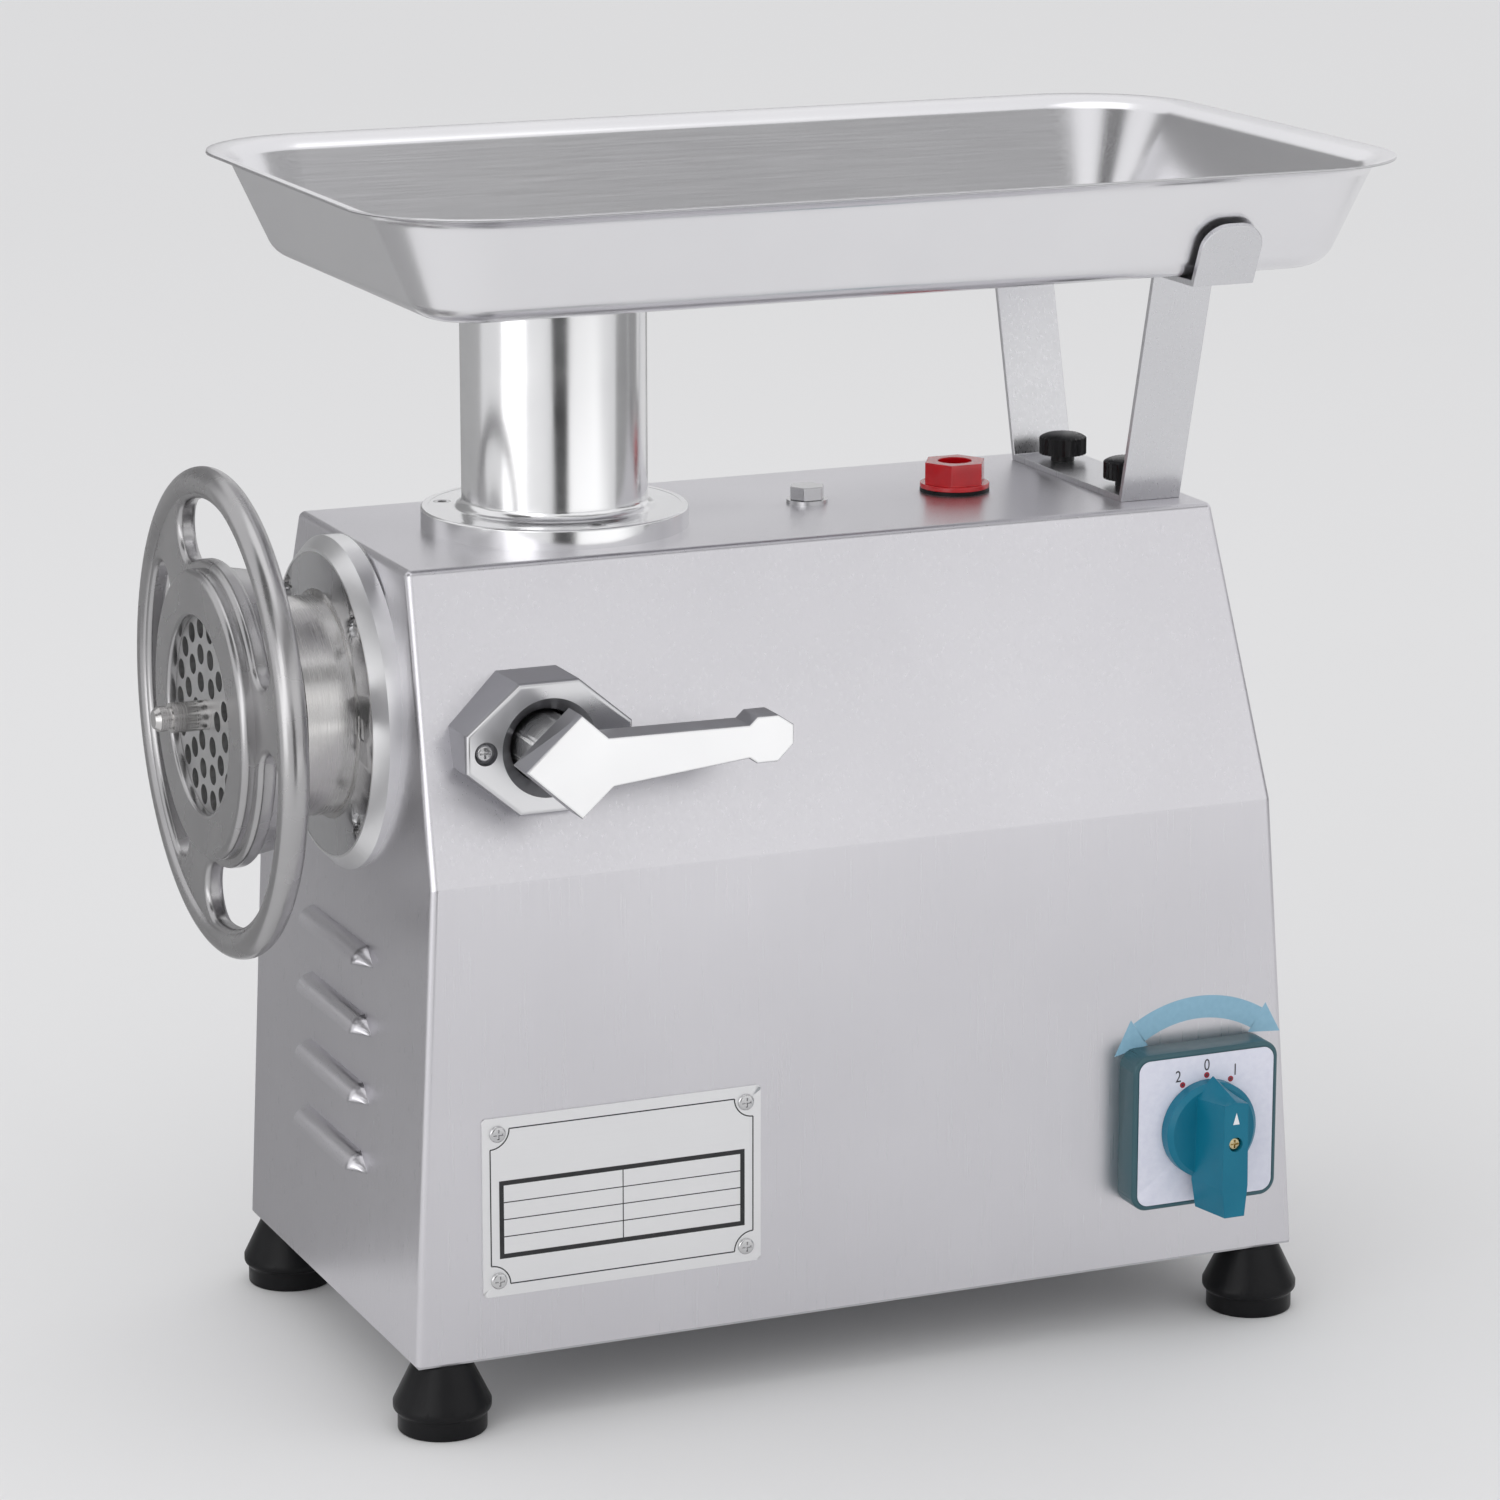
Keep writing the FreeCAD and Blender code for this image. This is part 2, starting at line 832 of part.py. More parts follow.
hoods = []
hood_rooms = []
for number in range(SIZES["louvre_count"]):
    hood_height = d.louvre_first_height + number * d.louvre_pitch
    hoods.append(louvre("hood_%d" % number, hood_height, as_size(0), 90, -90))
    hood_rooms.append(louvre("hood_room_%d" % number, hood_height, d.louvre_skin, 180, -90))

foot_left = d.foot_left_inset - d.left_base
foot_right = d.right_base - d.foot_right_inset
foot_side = d.base_half_width - d.foot_side_inset
foot_places = {
    "foot_front_left": (foot_left, -foot_side, 0),
    "foot_front_right": (foot_right, -foot_side, 0),
    "foot_rear_left": (foot_left, foot_side, 0),
    "foot_rear_right": (foot_right, foot_side, 0),
}


# Base plate, feet and their bolts

foot_list = list(foot_places.values())
keep(
    slab(
        "base_plate",
        "XY",
        base_under,
        base_top,
        [
            box_corners(
                d.base_inset - d.left_base,
                d.base_inset - d.base_half_width,
                d.right_base - d.base_inset,
                d.base_half_width - d.base_inset,
            )
        ],
        [((x, y), d.foot_bolt_radius + d.fit_gap) for x, y, z in foot_list]
        + [((x, y), d.case_bolt_radius + d.running_gap) for x, y, z in case_bolt_places],
    )
)
bolt_start = base_under - d.foot_bolt_depth
for foot_name, place in foot_places.items():
    keep(
        turn(
            foot_name,
            "Z",
            [
                (0, 0),
                (d.foot_base_radius, 0),
                (d.foot_base_radius, d.foot_lip_height - d.foot_lip / 2),
                (d.foot_radius, d.foot_lip_height),
                (d.foot_radius, d.foot_lip_height + d.foot_lip),
                (d.foot_top_radius, base_under),
                (d.foot_bolt_radius + d.running_gap, base_under),
                (d.foot_bolt_radius + d.running_gap, bolt_start),
                (0, bolt_start),
            ],
            place,
        )
    )
foot_bolt = turn(
    "foot_bolt",
    "Z",
    [
        (0, bolt_start),
        (d.foot_bolt_radius, bolt_start),
        (d.foot_bolt_radius, base_top),
        (d.foot_nut_radius, base_top),
        (d.foot_nut_radius, base_top + d.foot_nut),
        (d.foot_bolt_radius, base_top + d.foot_nut),
        (d.foot_bolt_radius, base_top + 3 * d.foot_nut / 2),
        (0, base_top + 3 * d.foot_nut / 2),
    ],
)
keep(copies("foot_bolts", foot_bolt, foot_list))


# Head seat: cast sleeve through the left end, with the flange ring that shows outside

seat_bore = d.barrel_radius + d.running_gap
flange_blank = turn(
    "flange_blank",
    "X",
    [
        (flange_front, seat_bore),
        (-d.left_top, seat_bore),
        (-d.left_top, d.flange_radius),
        (flange_front + d.flange_bevel, d.flange_radius),
        (flange_front, d.flange_radius - d.flange_bevel),
    ],
    head_axis,
)
flange_ring = cut("flange_ring", flange_blank, [envelope])
seat_sleeve = tube("seat_sleeve", "X", flange_front, d.gearbox_front, seat_bore, sleeve_radius, head_axis)
boss_radius = d.neck_screw_circle + d.neck_screw_radius + d.fit_gap
neck_boss = rod("neck_boss", "Z", d.head_height, inner_top, boss_radius, (neck_x, 0, 0))
seat_bore_tool = rod(
    "seat_bore_tool", "X", flange_front - d.overcut, d.gearbox_front + d.overcut, seat_bore, head_axis
)
neck_hole = rod(
    "neck_hole", "Z", d.head_height, d.body_top + d.overcut, d.neck_spigot + d.running_gap, (neck_x, 0, 0)
)
clamp_thread = rod(
    "clamp_thread", "Y", -2 * sleeve_radius, 0, d.spindle_radius + d.running_gap, (clamp_x, 0, d.head_height)
)
key_foot = d.barrel_neck_radius - d.key_height / 4
key_top = key_foot + d.key_height
key_notch = slab(
    "key_notch",
    "XY",
    d.head_height - d.key_width / 2 - d.fit_gap,
    d.head_height + d.key_width / 2 + d.fit_gap,
    [box_corners(flange_front - d.overcut, -key_top - d.fit_gap, flange_front + d.key_length + d.fit_gap, 0)],
)
flange_screw_places = []
for quarter in range(4):
    screw_y, screw_z = polar(d.flange_screw_circle, 45 + 90 * quarter)
    flange_screw_places.append((flange_front, screw_y, d.head_height + screw_z))
neck_screw_places = []
for third in range(SIZES["neck_screw_count"]):
    screw_x, screw_y = polar(d.neck_screw_circle, 360 * third / d.neck_screw_count - 90)
    neck_screw_places.append((neck_x + screw_x, screw_y, 0))


def sunk_screw(name, axis, head_radius, head, bore, radius, length):
    """Screw along an axis from the face it goes into, its head at the bottom of a bore."""
    return turn(
        name,
        axis,
        [
            (bore - head, 0),
            (bore - head, head_radius),
            (bore, head_radius),
            (bore, radius),
            (length, radius),
            (length, 0),
        ],
    )


def sunk_hole(name, axis, head_radius, bore, radius, length):
    """Tool for the hole of a sunk screw, with room round its head."""
    return turn(
        name,
        axis,
        [
            (-d.overcut, 0),
            (-d.overcut, head_radius + d.screw_head_room),
            (bore, head_radius + d.screw_head_room),
            (bore, radius + d.running_gap),
            (length + d.overcut, radius + d.running_gap),
            (length + d.overcut, 0),
        ],
    )


flange_screw = sunk_screw(
    "flange_screw",
    "X",
    d.flange_screw_head_radius,
    d.flange_screw_head,
    d.flange_screw_bore,
    d.flange_screw_radius,
    d.flange_screw_length,
)
flange_screw_hole = sunk_hole(
    "flange_screw_hole",
    "X",
    d.flange_screw_head_radius,
    d.flange_screw_bore,
    d.flange_screw_radius,
    d.flange_screw_length,
)
flange_screw_holes = copies("flange_screw_holes", flange_screw_hole, flange_screw_places)
neck_screw_top = d.body_top + d.neck_flange
neck_screw_start = neck_screw_top - d.neck_screw_length
neck_screw = rod("neck_screw", "Z", neck_screw_start, neck_screw_top, d.neck_screw_radius)
neck_screw_hole = rod(
    "neck_screw_hole", "Z", neck_screw_start, neck_screw_top + d.overcut, d.neck_screw_radius + d.running_gap
)
neck_screw_holes = copies("neck_screw_holes", neck_screw_hole, neck_screw_places)
keep(
    cut(
        "head_seat",
        fuse("seat_casting", [flange_ring, seat_sleeve, neck_boss]),
        [seat_bore_tool, neck_hole, clamp_thread, key_notch, flange_screw_holes, neck_screw_holes],
    )
)
keep(copies("flange_screws", flange_screw, flange_screw_places))


# Feed neck on the top of the housing

neck_spigot_end = d.head_height + d.barrel_radius + d.spigot_gap
foot_round_top = d.body_top + d.neck_flange + d.neck_foot_round
neck_blank = turn(
    "neck_blank",
    "Z",
    [
        (d.neck_bore, neck_spigot_end),
        (d.neck_spigot, neck_spigot_end),
        (d.neck_spigot, d.body_top),
        (d.neck_flange_radius, d.body_top),
        (d.neck_flange_radius, d.body_top + d.neck_flange - d.neck_edge),
        (d.neck_flange_radius - d.neck_edge, d.body_top + d.neck_flange),
        (d.neck_radius + d.neck_foot_round, d.body_top + d.neck_flange),
        (d.neck_radius, foot_round_top, 1, d.neck_radius + d.neck_foot_round, foot_round_top),
        (d.neck_radius, d.neck_top),
        (d.neck_bore, d.neck_top),
    ],
    (neck_x, 0, 0),
)
keep(cut("feed_neck", neck_blank, [neck_screw_holes]))
keep(copies("neck_screws", neck_screw, neck_screw_places))


# Barrel with its key and plate pin

recess = d.plate_radius + d.fit_gap
barrel_thread = d.thread_radius - d.fit_gap
barrel_blank = turn(
    "barrel_blank",
    "X",
    [
        (mouth, recess),
        (knife_back, recess),
        (knife_back, d.barrel_bore),
        (auger_back, d.barrel_bore),
        (auger_back, d.auger_root + d.running_gap),
        (barrel_back, d.auger_root + d.running_gap),
        (barrel_back, d.barrel_radius),
        (flange_front, d.barrel_radius),
        (flange_front, d.barrel_neck_radius),
        (cup_back - d.cup_edge, d.barrel_neck_radius),
        (cup_back - 2 * d.cup_edge, barrel_thread),
        (mouth, barrel_thread),
    ],
    head_axis,
)
feed_hole = rod(
    "feed_hole", "Z", d.head_height, d.head_height + 2 * d.barrel_radius, d.feed_hole, (neck_x, 0, 0)
)
key_low = d.head_height - d.key_width / 2
key_start = flange_front + d.fit_gap
key_lines = box_corners(key_start, -key_top, key_start + d.key_length - d.fit_gap, -key_foot)
barrel_key = slab("barrel_key", "XY", key_low, key_low + d.key_width, [key_lines])
pin_height = d.head_height + recess
pin_start = mouth + d.plate_pin_radius
plate_pin = rod(
    "plate_pin", "X", pin_start, pin_start + d.plate_pin_length, d.plate_pin_radius, (0, 0, pin_height)
)
keep(cut("barrel", barrel_blank, [feed_hole, barrel_key, plate_pin]))
keep(barrel_key)
keep(plate_pin)


# Auger with its stud, knife and cutting plate

auger = new_body("auger")
add_turn(
    auger,
    "X",
    [
        (knife_back, d.stud_radius + d.running_gap),
        (knife_back, d.auger_core),
        (auger_back, d.auger_root),
        (barrel_back + d.running_gap, d.auger_root),
        (barrel_back + d.running_gap, 0),
        (knife_back + d.stud_depth, 0),
        (knife_back + d.stud_depth, d.stud_radius + d.running_gap),
    ],
)
half_square = d.knife_square / 2
add_pad(
    auger,
    "YZ",
    plate_back + d.fit_gap,
    knife_back,
    [box_corners(-half_square, -half_square, half_square, half_square)],
    [((0, 0), d.stud_radius + d.running_gap)],
)
half_tang = d.tang_square / 2
add_pad(
    auger,
    "YZ",
    barrel_back,
    barrel_back + d.tang_length,
    [box_corners(-half_tang, -half_tang, half_tang, half_tang)],
)
flight_start = knife_back + d.flight_gap
flight_radius = d.barrel_bore - d.fit_gap
flight_sketch = new_sketch(auger, "XZ")
draw(
    flight_sketch,
    [
        [
            (flight_start, d.auger_core - d.auger_sink),
            (flight_start + d.auger_flank, d.auger_core - d.auger_sink),
            (flight_start + (d.auger_flank + d.auger_land) / 2, flight_radius),
            (flight_start + (d.auger_flank - d.auger_land) / 2, flight_radius),
        ]
    ],
)
flight = auger.newObject("PartDesign::AdditiveHelix", "auger_flight")
flight.Profile = flight_sketch
flight.ReferenceAxis = (origin_part(auger, "X_Axis"), [""])
flight.Mode = "pitch-height-angle"
bind(flight, "Pitch", d.auger_pitch)
bind(flight, "Height", auger_back - flight_start - 2 * d.auger_flank)
auger.Tip = flight
set_place(auger, head_axis)
keep(auger)

stud_tip = cup_front - d.stud_reach
keep(
    turn(
        "auger_stud",
        "X",
        [
            (stud_tip, 0),
            (stud_tip, d.stud_nose_radius),
            (stud_tip + d.stud_nose, d.stud_head_radius),
            (stud_tip + d.stud_head, d.stud_head_radius),
            (stud_tip + d.stud_head, d.stud_groove_radius),
            (stud_tip + d.stud_head + d.stud_groove, d.stud_groove_radius),
            (stud_tip + d.stud_head + d.stud_groove, d.stud_radius),
            (knife_back + d.stud_depth, d.stud_radius),
            (knife_back + d.stud_depth, 0),
        ],
        head_axis,
    )
)

wing_tip = root(d.knife_radius * d.knife_radius - d.knife_wing * d.knife_wing / 4)
knife_lines = []
for quarter in range(4):
    for u, v in (
        (d.knife_hub, -d.knife_hub),
        (wing_tip, -d.knife_wing / 2),
        (wing_tip, d.knife_wing / 4),
    ):
        turned = 90 * quarter
        knife_lines.append((u * cosine(turned) - v * sine(turned), u * sine(turned) + v * cosine(turned)))
half_hole = half_square + d.running_gap
keep(
    slab(
        "knife",
        "YZ",
        plate_back + d.running_gap,
        knife_back - d.running_gap,
        [knife_lines, box_corners(-half_hole, -half_hole, half_hole, half_hole)],
        at=head_axis,
    )
)

plate_circles = [((0, 0), d.plate_radius), ((0, 0), d.stud_radius + d.running_gap)]
for ring in range(SIZES["plate_ring_count"]):
    ring_radius = d.plate_ring_first + ring * d.plate_ring_pitch
    ring_count = SIZES["plate_ring_step"] * (ring + 1)
    for hole in range(ring_count):
        plate_circles.append((polar(ring_radius, 360 * (hole + ring / 2) / ring_count), d.plate_hole))
plate_blank = slab("plate_blank", "YZ", plate_front, plate_back, circles=plate_circles, at=head_axis)
pin_notch = rod(
    "pin_notch", "X", cup_front, knife_back, d.plate_pin_radius + d.fit_gap, (0, 0, pin_height)
)
keep(cut("cutting_plate", plate_blank, [pin_notch]))


# Ring nut with its hand wheel

hand_wheel = new_body("hand_wheel")
add_turn(
    hand_wheel,
    "X",
    [
        (cup_front, d.cup_opening + d.cup_edge / 2),
        (cup_front, d.cup_radius - d.cup_edge),
        (cup_front + d.cup_edge, d.cup_radius, 1, cup_front + d.cup_edge, d.cup_radius - d.cup_edge),
        (cup_front + d.cup_length / 2, d.cup_radius),
        (cup_back, d.cup_back_radius),
        (cup_back, d.thread_radius),
        (plate_front - d.running_gap, d.thread_radius),
        (plate_front - d.running_gap, d.cup_opening),
        (cup_front + d.cup_edge / 2, d.cup_opening),
    ],
)
rim_plane = cup_front + d.rim_setback
kidney_middle = (d.kidney_inner + d.kidney_outer) / 2
kidney_end = (d.kidney_outer - d.kidney_inner) / 2
kidney_half = 180 / d.spoke_count - (d.spoke_width / 2 + kidney_end) / kidney_middle * 180 / math.pi


def kidney(middle):
    """Opening between two spokes, with round ends."""
    low = middle - kidney_half
    high = middle + kidney_half
    return [
        (*polar(d.kidney_outer, low), -1, *polar(kidney_middle, low)),
        (*polar(d.kidney_outer, high), -1, 0, 0),
        (*polar(d.kidney_inner, high), -1, *polar(kidney_middle, high)),
        (*polar(d.kidney_inner, low), 1, 0, 0),
    ]


kidneys = []
for number in range(SIZES["spoke_count"]):
    kidneys.append(kidney(d.spoke_turn + 180 / d.spoke_count + 360 * number / d.spoke_count))
add_pad(
    hand_wheel,
    "YZ",
    rim_plane - d.web / 2,
    rim_plane + d.web / 2,
    kidneys,
    [((0, 0), d.rim_radius), ((0, 0), d.thread_radius + d.cup_edge)],
)
add_turn(hand_wheel, "X", circles=[((rim_plane, d.rim_radius), d.rim_section)])
set_place(hand_wheel, head_axis)
keep(hand_wheel)


# Clamp that locks the barrel: wedge block on the sloping panel, spindle and lever

clamp_axis = (clamp_x, 0, d.head_height)
clamp_corners = [
    (d.clamp_half_width, -d.clamp_side),
    (d.clamp_half_width, d.clamp_side),
    (d.clamp_top, d.clamp_half_height),
    (-d.clamp_top, d.clamp_half_height),
    (-d.clamp_half_width, d.clamp_side),
    (-d.clamp_half_width, -d.clamp_side),
    (-d.clamp_top, -d.clamp_half_height),
    (d.clamp_top, -d.clamp_half_height),
]
clamp_blank = slab("clamp_blank", "XZ", -clamp_face, -d.top_half_width, [clamp_corners], at=clamp_axis)


def on_clamp_face(edge):
    """True for an edge of the block's upright front."""
    return edge.BoundBox.YMax < TOUCH - clamp_face.value


def on_lever_face(edge):
    """True for an edge of the lever's front."""
    return edge.BoundBox.YMax < TOUCH - lever_back.value - d.lever.value


clamp_body = round_edges("clamp_body", clamp_blank, d.clamp_round, on_clamp_face)
clamp_dish = turn(
    "clamp_dish_tool",
    "Y",
    [
        (-clamp_face, 0),
        (-clamp_face, d.clamp_hole + d.clamp_dish),
        (d.clamp_dish - clamp_face, d.clamp_hole),
        (-sleeve_radius, d.clamp_hole),
        (-sleeve_radius, 0),
    ],
    clamp_axis,
)
clamp_screw_places = [
    (clamp_x - d.clamp_screw_spacing, -clamp_face, d.head_height),
    (clamp_x + d.clamp_screw_spacing, -clamp_face, d.head_height),
]
clamp_screw = sunk_screw(
    "clamp_screw",
    "Y",
    d.clamp_screw_head_radius,
    d.clamp_screw_head,
    d.clamp_screw_bore,
    d.clamp_screw_radius,
    d.clamp_screw_length,
)
clamp_screw_hole = sunk_hole(
    "clamp_screw_hole",
    "Y",
    d.clamp_screw_head_radius,
    d.clamp_screw_bore,
    d.clamp_screw_radius,
    d.clamp_screw_length,
)
clamp_screw_holes = copies("clamp_screw_holes", clamp_screw_hole, clamp_screw_places)
keep(cut("clamp_block", clamp_body, [envelope, clamp_dish, clamp_screw_holes]))
keep(copies("clamp_screws", clamp_screw, clamp_screw_places))
spindle_shoulder = sleeve_radius + d.spindle_gap
spindle_tip = d.barrel_radius + d.spindle_clear
keep(
    turn(
        "clamp_spindle",
        "Y",
        [
            (-lever_back, 0),
            (-lever_back, d.spindle_head),
            (-spindle_shoulder, d.spindle_head),
            (-spindle_shoulder, d.spindle_radius),
            (-spindle_tip, d.spindle_radius),
            (-spindle_tip, 0),
        ],
        clamp_axis,
    )
)
arm_low = d.lever_hub_half_width * (1 - d.lever_root_down / d.lever_hub_half_height)
arm_high = d.lever_hub_half_width * (1 - d.lever_root_up / d.lever_hub_half_height)
lever_end = d.lever_reach + d.lever_knob_length
lever_corners = [
    (-d.lever_hub_half_width, 0),
    (0, -d.lever_hub_half_height),
    (arm_low, -d.lever_root_down),
    (d.lever_reach, -d.lever_tip_down),
    (d.lever_reach + d.lever_knob_chamfer / 2, -d.lever_knob_down),
    (lever_end - d.lever_knob_chamfer, -d.lever_knob_down),
    (lever_end, d.lever_knob_chamfer - d.lever_knob_down),
    (lever_end, d.lever_knob_up - d.lever_knob_top_chamfer),
    (lever_end - d.lever_knob_chamfer, d.lever_knob_up),
    (d.lever_reach + d.lever_knob_chamfer / 2, d.lever_knob_up),
    (d.lever_reach, d.lever_tip_up),
    (arm_high, d.lever_root_up),
    (0, d.lever_hub_half_height),
]
lever_blank = slab(
    "lever_blank", "XZ", -lever_back - d.lever, -lever_back, [lever_corners], at=clamp_axis
)
keep(round_edges("clamp_lever", lever_blank, d.lever_round, on_lever_face))


# Gears with involute teeth

counter_axis = (0, 0, counter_height)
motor_axis = (0, 0, motor_height)
fast_start = gearbox_inside + d.stage_gap
slow_start = fast_start + d.fast_face + 2 * d.stage_gap
FLANK_POINTS = 3
# Depth of a tooth below the pitch circle, in modules
ROOT_DEPTH = 1.25
# Directions of a first tooth, in degrees from +Y towards +Z
UP = 90
DOWN = -90


def involute(angle):
    """Involute function of an angle in radians."""
    return math.tan(angle) - angle


def gear_outline(module, teeth, first_tooth):
    """Corners of a spur gear, its first tooth at an angle in degrees from +Y towards +Z."""
    pitch_radius = module * teeth / 2
    pressure = math.radians(d.pressure_angle.value)
    base_radius = pitch_radius * math.cos(pressure)
    root_radius = pitch_radius - ROOT_DEPTH * module
    tip_radius = pitch_radius + module
    flank_radius = max(base_radius, root_radius)
    half_tooth = (math.pi * module - d.backlash.value) / (4 * pitch_radius) + involute(pressure)
    flank = []
    for step in range(FLANK_POINTS):
        radius = flank_radius + (tip_radius - flank_radius) * step / (FLANK_POINTS - 1)
        flank.append((radius, half_tooth - involute(math.acos(base_radius / radius))))
    if root_radius < base_radius:
        flank.insert(0, (root_radius, half_tooth))
    corners = []
    for tooth in range(teeth):
        middle = math.radians(first_tooth) + 2 * math.pi * tooth / teeth
        for radius, half in flank:
            corners.append((radius * math.cos(middle - half), radius * math.sin(middle - half)))
        for radius, half in reversed(flank):
            corners.append((radius * math.cos(middle + half), radius * math.sin(middle + half)))
    return corners


def gear_blank(name, module, teeth, first_tooth, start, face, axis):
    """Toothed disc along X, without its bore."""
    corners = gear_outline(module.value, int(teeth.value), first_tooth)
    points = [FreeCAD.Vector(0, u, v) for u, v in corners]
    outline = Part.Face(Part.makePolygon(points + points[:1]))
    blank = doc.addObject("Part::Feature", name)
    blank.Shape = outline.extrude(FreeCAD.Vector(face.value, 0, 0))
    set_place(blank, (start, 0, axis[2]))
    return blank


def bored(name, blank, start, face, radius, axis):
    """Disc with a running bore for its shaft."""
    hole = rod(
        name + "_bore", "X", start - d.overcut, start + face + d.overcut, radius + d.running_gap, axis
    )
    return cut(name, blank, [hole])


# Teeth meet at the line between the centres: a tooth of one faces a gap of the other
output_teeth = gear_blank(
    "output_teeth",
    d.slow_module,
    d.output_teeth,
    DOWN + 180 / SIZES["output_teeth"],
    slow_start,
    d.slow_face,
    head_axis,
)
keep(bored("output_gear", output_teeth, slow_start, d.slow_face, d.output_shaft_radius, head_axis))
counter_teeth = gear_blank(
    "counter_teeth", d.fast_module, d.counter_teeth, DOWN, fast_start, d.fast_face, counter_axis
)
keep(bored("counter_gear", counter_teeth, fast_start, d.fast_face, d.counter_shaft_radius, counter_axis))
pinion_teeth = gear_blank(
    "pinion_teeth",
    d.fast_module,
    d.pinion_teeth,
    UP + 180 / SIZES["pinion_teeth"],
    fast_start,
    d.fast_face,
    motor_axis,
)
keep(bored("motor_pinion", pinion_teeth, fast_start, d.fast_face, d.rotor_shaft_radius, motor_axis))
counter_pinion = gear_blank(
    "counter_pinion", d.slow_module, d.pinion_teeth, UP, slow_start, d.slow_face, counter_axis
)


# Shafts, bearings and seal of the gearbox

rear_bearing = gearbox_back - d.cover_boss
output_end = rear_bearing + d.output_bearing
socket_half = d.tang_square / 2 + d.fit_gap
socket_end = barrel_back + d.tang_length + d.nose_gap
shaft_blank = turn(
    "shaft_blank",
    "X",
    [
        (nose_front, 0),
        (nose_front, d.output_nose_radius),
        (d.gearbox_front, d.output_nose_radius),
        (d.gearbox_front, d.output_shaft_radius),
        (output_end, d.output_shaft_radius),
        (output_end, 0),
    ],
    head_axis,
)
shaft_socket = slab(
    "shaft_socket",
    "YZ",
    nose_front - d.overcut,
    socket_end,
    [box_corners(-socket_half, -socket_half, socket_half, socket_half)],
    at=head_axis,
)
keep(cut("output_shaft", shaft_blank, [shaft_socket]))
output_bearing = tube(
    "output_bearing",
    "X",
    0,
    d.output_bearing,
    d.output_shaft_radius + d.running_gap,
    d.output_bearing_radius,
)
front_bearing = gearbox_inside - d.output_bearing
keep(
    copies(
        "output_bearings",
        output_bearing,
        [(front_bearing, 0, d.head_height), (rear_bearing, 0, d.head_height)],
    )
)
keep(
    tube(
        "output_seal",
        "X",
        d.gearbox_front,
        d.gearbox_front + d.seal,
        d.output_shaft_radius + d.running_gap,
        d.seal_radius,
        head_axis,
    )
)
counter_front = gearbox_inside - d.counter_bearing
counter_end = rear_bearing + d.counter_bearing
counter_rod = rod("counter_rod", "X", counter_front, counter_end, d.counter_shaft_radius, counter_axis)
keep(fuse("counter_shaft", [counter_rod, counter_pinion]))
counter_bearing = tube(
    "counter_bearing",
    "X",
    0,
    d.counter_bearing,
    d.counter_shaft_radius + d.running_gap,
    d.counter_bearing_radius,
)
keep(
    copies(
        "counter_bearings",
        counter_bearing,
        [(counter_front, 0, counter_height), (rear_bearing, 0, counter_height)],
    )
)


# Gearbox casting on the base plate, with its cover

cavity_floor = motor_height - d.fast_module * (d.pinion_teeth / 2 + 1) - d.gear_room
cover_low = cavity_floor - d.case_floor


def case_lines(radius, bottom):
    """End view of the casting: upright sides under a half circle."""
    return [
        (-radius, bottom),
        (radius, bottom),
        (radius, d.head_height),
        (-radius, d.head_height, -1, 0, d.head_height),
    ]


case_body = slab(
    "case_body", "YZ", d.gearbox_front, gearbox_back, [case_lines(gearbox_radius, base_top)]
)
case_foot_half = gearbox_radius + d.case_foot_reach
case_foot = slab(
    "case_foot_plate",
    "XY",
    base_top,
    base_top + d.case_foot,
    [box_corners(d.gearbox_front, -case_foot_half, gearbox_back, case_foot_half)],
)
boss_start = d.head_height + gear_room_radius
bolt_boss = rod(
    "bolt_boss", "Z", boss_start, inner_top, d.bolt_radius + d.top_boss_wall, (d.bolt_x, 0, 0)
)
plug_boss = rod(
    "plug_boss", "Z", boss_start, inner_top, d.plug_radius + d.top_boss_wall, (d.plug_x, 0, 0)
)
gear_cavity = slab(
    "gear_cavity",
    "YZ",
    gearbox_inside,
    gearbox_back + d.overcut,
    [case_lines(gear_room_radius, cavity_floor)],
)
leg_hollow = slab(
    "leg_hollow",
    "XY",
    base_top - d.overcut,
    cover_low,
    [
        box_corners(
            gearbox_inside, -gear_room_radius, gearbox_back - d.gearbox_wall, gear_room_radius
        )
    ],
)
output_seat = turn(
    "output_seat",
    "X",
    [
        (d.gearbox_front - d.overcut, 0),
        (d.gearbox_front - d.overcut, d.seal_radius + d.running_gap),
        (front_bearing, d.seal_radius + d.running_gap),
        (front_bearing, d.output_bearing_radius + d.running_gap),
        (gearbox_inside + d.overcut, d.output_bearing_radius + d.running_gap),
        (gearbox_inside + d.overcut, 0),
    ],
    head_axis,
)
counter_seat = rod(
    "counter_seat",
    "X",
    counter_front,
    gearbox_inside + d.overcut,
    d.counter_bearing_radius + d.running_gap,
    counter_axis,
)
rotor_hole = rod(
    "rotor_hole",
    "X",
    d.gearbox_front - d.overcut,
    gearbox_inside + d.overcut,
    d.rotor_shaft_radius + d.shaft_room,
    motor_axis,
)

top_bolt_end = d.body_top + d.washer - d.bolt_length
bolt_hole = rod(
    "bolt_hole", "Z", top_bolt_end, d.body_top, d.bolt_radius + d.running_gap, (d.bolt_x, 0, 0)
)
plug_hole = rod(
    "plug_hole",
    "Z",
    boss_start - d.gear_room,
    d.body_top,
    d.plug_radius + d.running_gap,
    (d.plug_x, 0, 0),
)

